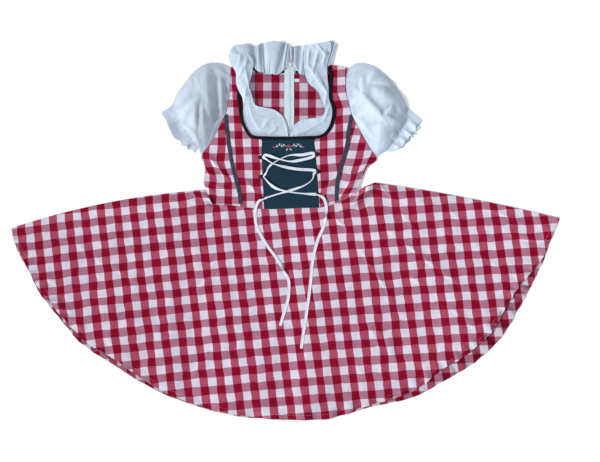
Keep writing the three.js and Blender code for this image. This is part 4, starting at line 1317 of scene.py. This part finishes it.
def zip_and_label():
    low = CLOTH + SEAM
    left, right = ZIP_X - 1.5, ZIP_X + 1.5
    tapes = (("left", left - TAPE_LEFT_WIDTH, left), ("right", right, right + TAPE_RIGHT_WIDTH))
    for side, low_x, high_x in tapes:
        band = zip_tape(low_x, high_x, low + 0.95)
        near = high_x - 1.6 if side == "left" else low_x + 1.6
        seam = [(near, y, low + 1.05) for y in np.linspace(ZIP_TOP - 2, ZIP_BOTTOM + 2, 60)]
        piece("zip_tape_%s_band" % side, [band, stitches(seam)], [COTTON_TAPE, THREAD_WHITE],
              ["zip_tape_" + side])
    coil = []
    for i, y in enumerate(np.arange(ZIP_BOTTOM + 1, ZIP_TOP - 0.5, COIL_PITCH)):
        lean = 0.25 if i % 2 else -0.25
        bar = [(ZIP_X - COIL_HALF, y - lean, low + 0.75), (ZIP_X, y, low + 1.05),
               (ZIP_X + COIL_HALF, y + lean, low + 0.75)]
        coil.append(tube(bar, 0.48, 0.42, 6))
    bed_plan = [[(ZIP_X + side * COIL_HALF, y) for side in (-1, 1)] for y in (ZIP_TOP, ZIP_BOTTOM)]
    bed = laid(lift(np.array(bed_plan), low + 0.6), np.zeros((2, 2, 2)), 0.5)
    piece("zip_coil", [joined(coil), bed], [NYLON, COTTON_TAPE], ["zip_chain"])

    y0 = ZIP_TOP + SEAM
    outline = [(-0.55, 0), (-0.8, 0.25), (-1, 0.62), (-0.82, 0.92), (-0.45, 1), (0.45, 1),
               (0.82, 0.92), (1, 0.62), (0.8, 0.25), (0.55, 0)]
    plates = []
    for level, thick in ((1.15, 0.85), (3.3, 0.85)):
        ring = np.array([(ZIP_X + 3.4 * px, y0 + 0.1 + 9.7 * py, level) for px, py in outline])
        top = ring + [0, 0, thick]
        n = len(outline)
        k = np.arange(n)
        wall = np.stack([k, (k + 1) % n, (k + 1) % n + n, k + n], -1)
        points = np.vstack([ring, top])
        faces = outward(points, [wall, k[None, ::-1], (k + n)[None]])
        plates.append((points, faces, np.zeros((2 * n, 2)), np.zeros(2 * n)))
    post = tube([(ZIP_X, y0 + 7, 1.9), (ZIP_X, y0 + 7, 2.6), (ZIP_X, y0 + 7, 3.4)], 1.0, 1.4, 10,
                up=(0, 1, 0))
    piece("zip_slider_body", plates + [post], ENAMEL, ["zip_slider"])
    tab_x = [1.2, 1.6, 1.65, 1.3]
    tab_y = [y0 + 9.8, y0 + 6, y0 - 9, y0 - 13.8]
    t, s = grid(30, 6)
    wide = np.interp(t, [0, 0.2, 0.85, 1], tab_x)
    plan = np.stack([ZIP_X + (2 * s - 1) * wide, np.interp(t, [0, 0.2, 0.85, 1], tab_y)], -1)
    piece("zip_pull_tab", [laid(lift(plan, 0.72 + 0.04 * np.sin(math.pi * s)),
                                plan / CHECK, 0.66)], ENAMEL, ["zip_pull"])
    label = laid(*label_grid(low))
    piece("size_label_blank", [label], SATIN_LABEL, ["size_label"])


def label_grid(low):
    """The blank label: a small satin rectangle with a turned top edge."""
    t, s = grid(20, 24)
    plan = np.stack([21.6 + 11.8 * s, 369.8 - 7.6 * t], -1)
    z = low + 0.75 + 0.25 * ease(t, 0.3, 0.0) + 0.12 * np.sin(3 * s + 2 * t)
    return lift(plan, z), plan / CHECK, 0.45


zip_and_label()


# ---- lacing --------------------------------------------------------------------------------------
def lace_loop(name, x, y, facing):
    """A small flattened cord loop whose two legs are caught in the plastron seam."""
    angle = np.linspace(-0.5, 0.5, 21) * math.pi
    bend = np.stack([x + facing * 3.4 * np.cos(angle), y + 3.5 * np.sin(angle)], -1)
    foot = [(x - facing * 5.4, y - 1.9), (x - facing * 2.4, y - 3.1)]
    path = np.vstack([foot, bend, [(p, 2 * y - q) for p, q in foot[::-1]]])
    z = LACE_BASE + 0.8 + 0.1 * np.sin(np.linspace(0, 9, len(path)))
    cord = tube(lift(path, z), 1.6, 0.75, 10)
    bar = [(x - facing * 4.9, y + d, LACE_BASE + 0.55) for d in (-3.3, 0, 3.3)]
    tack = stitches(np.array(bar) + [0, 0, 0.5], 0.8, 0.7, 0.25)
    knot_x = x - facing * np.linspace(-1.5, 8.5, 9)
    swell = np.sin(np.linspace(0.12, math.pi - 0.12, 9)) ** 0.6
    knot = tube([(at, y, LACE_BASE + 0.75) for at in knot_x], 4.6 * swell, 1.15 * swell, 14)
    piece("lace_loop_%s_cord" % name, [cord, tube(bar, 1.6, 0.7, 8), tack, knot],
          [LOOP_CORD, LOOP_CORD, THREAD_DARK, LOOP_CORD], ["lace_loop_" + name])


LACE_NARROWS = {  # where along a stretch the lace folds on itself, and to what share of its width
    "lace_stretch_1": ((0.52, 0.16, 0.35), (0.80, 0.10, 0.45)),
    "lace_stretch_2": ((0.58, 0.12, 0.5),),
    "lace_stretch_3": ((0.30, 0.14, 0.4),),
    "lace_stretch_4": ((0.35, 0.18, 0.35), (0.78, 0.12, 0.5)),
    "lace_stretch_5": ((0.18, 0.14, 0.5), (0.62, 0.16, 0.45))}


def lace_stretch(name, level, points):
    points = [nearest_loop(points[0]), *points, nearest_loop(points[-1])]
    x, y = np.array(points, float).T
    t = np.linspace(0, 1, 101)
    plan = edge(x, y)(t)
    ends = ease(t, 0, 0.14) * ease(t, 1, 0.86)
    width = LACE_WIDTH * (0.42 + 0.58 * ends)
    for at, reach, share in LACE_NARROWS[name]:
        width = width * (1 - (1 - share) * np.exp(-(((t - at) / reach) ** 4)))
    z = LACE_BASE + LOOP_THICK + SEAM + LACE_LEVEL * level + 0.5
    wave = 0.35 * np.sin(11 * t + level)
    roll = 0.05 * np.sin(7 * t + 2 * level) + 0.02 * np.sin(19 * t)
    path = lift(plan, mix(LACE_BASE + 1.9, z + wave, ease(t, 0, 0.08) * ease(t, 1, 0.92)))
    band = ribbon(path, width, LACE_THICK, roll, cup=0.3)
    piece(name + "_ribbon", [band], SATIN, [name])


for loop in LOOPS:
    lace_loop(*loop)
for stretch in STRETCHES:
    lace_stretch(*stretch)


# ---- embroidery ----------------------------------------------------------------------------------
def sewn(points, radius=0.55):
    """One raised stitch through plan points, on the plastron."""
    points = np.array(points, float)
    middle = points.mean(0)
    route = np.array([points[0], (points[0] + middle) / 2, middle,
                      (points[-1] + middle) / 2, points[-1]])
    z = front_top(route[:, 0], route[:, 1]) + np.array([0.0, 0.22, 0.3, 0.22, 0.0])
    size = radius * np.array([0.3, 0.9, 1.0, 0.9, 0.3])
    return tube(lift(route, z), size, size * 0.7, 6)


def blossom(x, y, petals, inner, outer, threads):
    """Satin-stitched petals around a heart."""
    made = []
    for p in range(petals):
        middle = 2 * math.pi * (p + 0.25) / petals
        for k in np.linspace(-1, 1, threads):
            angle = middle + k * 0.72 * math.pi / petals
            reach = outer * (1 - 0.22 * k * k)
            c, s = math.cos(angle), math.sin(angle)
            made.append(sewn([(x + inner * c, y + inner * s), (x + reach * c, y + reach * s)]))
    return made


def spray(x, y, side):
    """An arching stem with leaves and buds, to one side of the middle blossom."""
    t = np.linspace(0, 1, 12)
    stem_x = x + side * (5 + 30 * t)
    stem_y = y + 5.5 * np.sin(2.6 * t) - 5 * t
    white = [sewn([(stem_x[i], stem_y[i]), (stem_x[i + 1], stem_y[i + 1])], 0.5)
             for i in range(len(t) - 1)]
    for i, lean in ((2, 1), (4, -1), (6, 1), (8, -1)):
        for spread in (-0.25, 0, 0.25):
            angle = lean * (0.9 + spread)
            tip = (stem_x[i] + side * 5.2 * math.cos(angle), stem_y[i] + 5.2 * math.sin(angle))
            white.append(sewn([(stem_x[i], stem_y[i]), tip], 0.45))
    pink = [sewn([(stem_x[i] - 1, stem_y[i] + 3.2 * lean), (stem_x[i] + 1, stem_y[i] + 3.8 * lean)],
                 0.8) for i, lean in ((3, -1), (5, 1), (9, 1))]
    red = []
    for k in np.linspace(-0.9, 0.9, 6):
        end = (stem_x[-1], stem_y[-1])
        red.append(sewn([end, (end[0] + side * 4.6 * math.cos(k), end[1] + 4.6 * math.sin(k))], 0.6))
    return white, pink, red


def embroidery():
    x, y = 8, 205
    red = blossom(x, y, 5, 1.6, 5.4, 6)
    pink = [sewn([(x - 1.2 * math.cos(a), y - 1.2 * math.sin(a)),
                  (x + 1.2 * math.cos(a), y + 1.2 * math.sin(a))], 0.6) for a in (0, 1.05, 2.1)]
    white = []
    for side in (-1, 1):
        whites, pinks, reds = spray(x, y, side)
        white, pink, red = white + whites, pink + pinks, red + reds
        for k in (-0.4, 0.0, 0.4):
            white.append(sewn([(x + side * 2, y - 6), (x + side * (8 - 4 * abs(k)), y - 9 + 6 * k)],
                              0.45))
    piece("plastron_flower_spray", [joined(white), joined(pink), joined(red)],
          [THREAD_WHITE, THREAD_PINK, THREAD_RED], [])


embroidery()


# ---- studio --------------------------------------------------------------------------------------
def floor_material():
    m = Nodes("floor_paper", 0.95)
    m.colour(m.blend(m.noise(3, 3), linear(250, 250, 251), linear(253, 253, 253)))
    m.bump((m.noise(900, 2), 0.02, 0.1))
    m.set("Emission Color", (1, 1, 1, 1))
    m.set("Emission Strength", 0.12)
    return m.material


def studio():
    mesh = bpy.data.meshes.new("floor")
    reach, drop = 6.0, -0.0004
    corners = [(-reach, -reach, drop), (reach, -reach, drop), (reach, reach, drop),
               (-reach, reach, drop)]
    mesh.from_pydata(corners, [], [(0, 1, 2, 3)])
    mesh.materials.append(floor_material())
    floor = bpy.data.objects.new("floor", mesh)
    bpy.context.collection.objects.link(floor)
    window = bpy.data.lights.new("window", "SUN")
    window.energy, window.angle, window.color = 3.1, math.radians(9), (1.0, 0.995, 0.985)
    fill = bpy.data.lights.new("fill", "AREA")
    fill.shape, fill.size, fill.energy, fill.color = "DISK", 2.4, 24, (0.96, 0.98, 1.0)
    for lamp, place in ((window, (-2.6, -0.75, 1.85)), (fill, (2.0, 1.4, 2.4))):
        holder = bpy.data.objects.new(lamp.name, lamp)
        holder.location = place
        aim = -np.array(place)
        holder.rotation_euler = (math.atan2(math.hypot(aim[0], aim[1]), -aim[2]), 0,
                                 math.atan2(aim[1], aim[0]) - math.pi / 2)
        bpy.context.collection.objects.link(holder)
    world = bpy.data.worlds.new("studio")
    world.use_nodes = True
    sky = world.node_tree.nodes["Background"]
    sky.inputs["Color"].default_value = (0.96, 0.98, 1.0, 1)
    sky.inputs["Strength"].default_value = 0.34
    bpy.context.scene.world = world
    bpy.context.scene.view_settings.view_transform = "Standard"


studio()
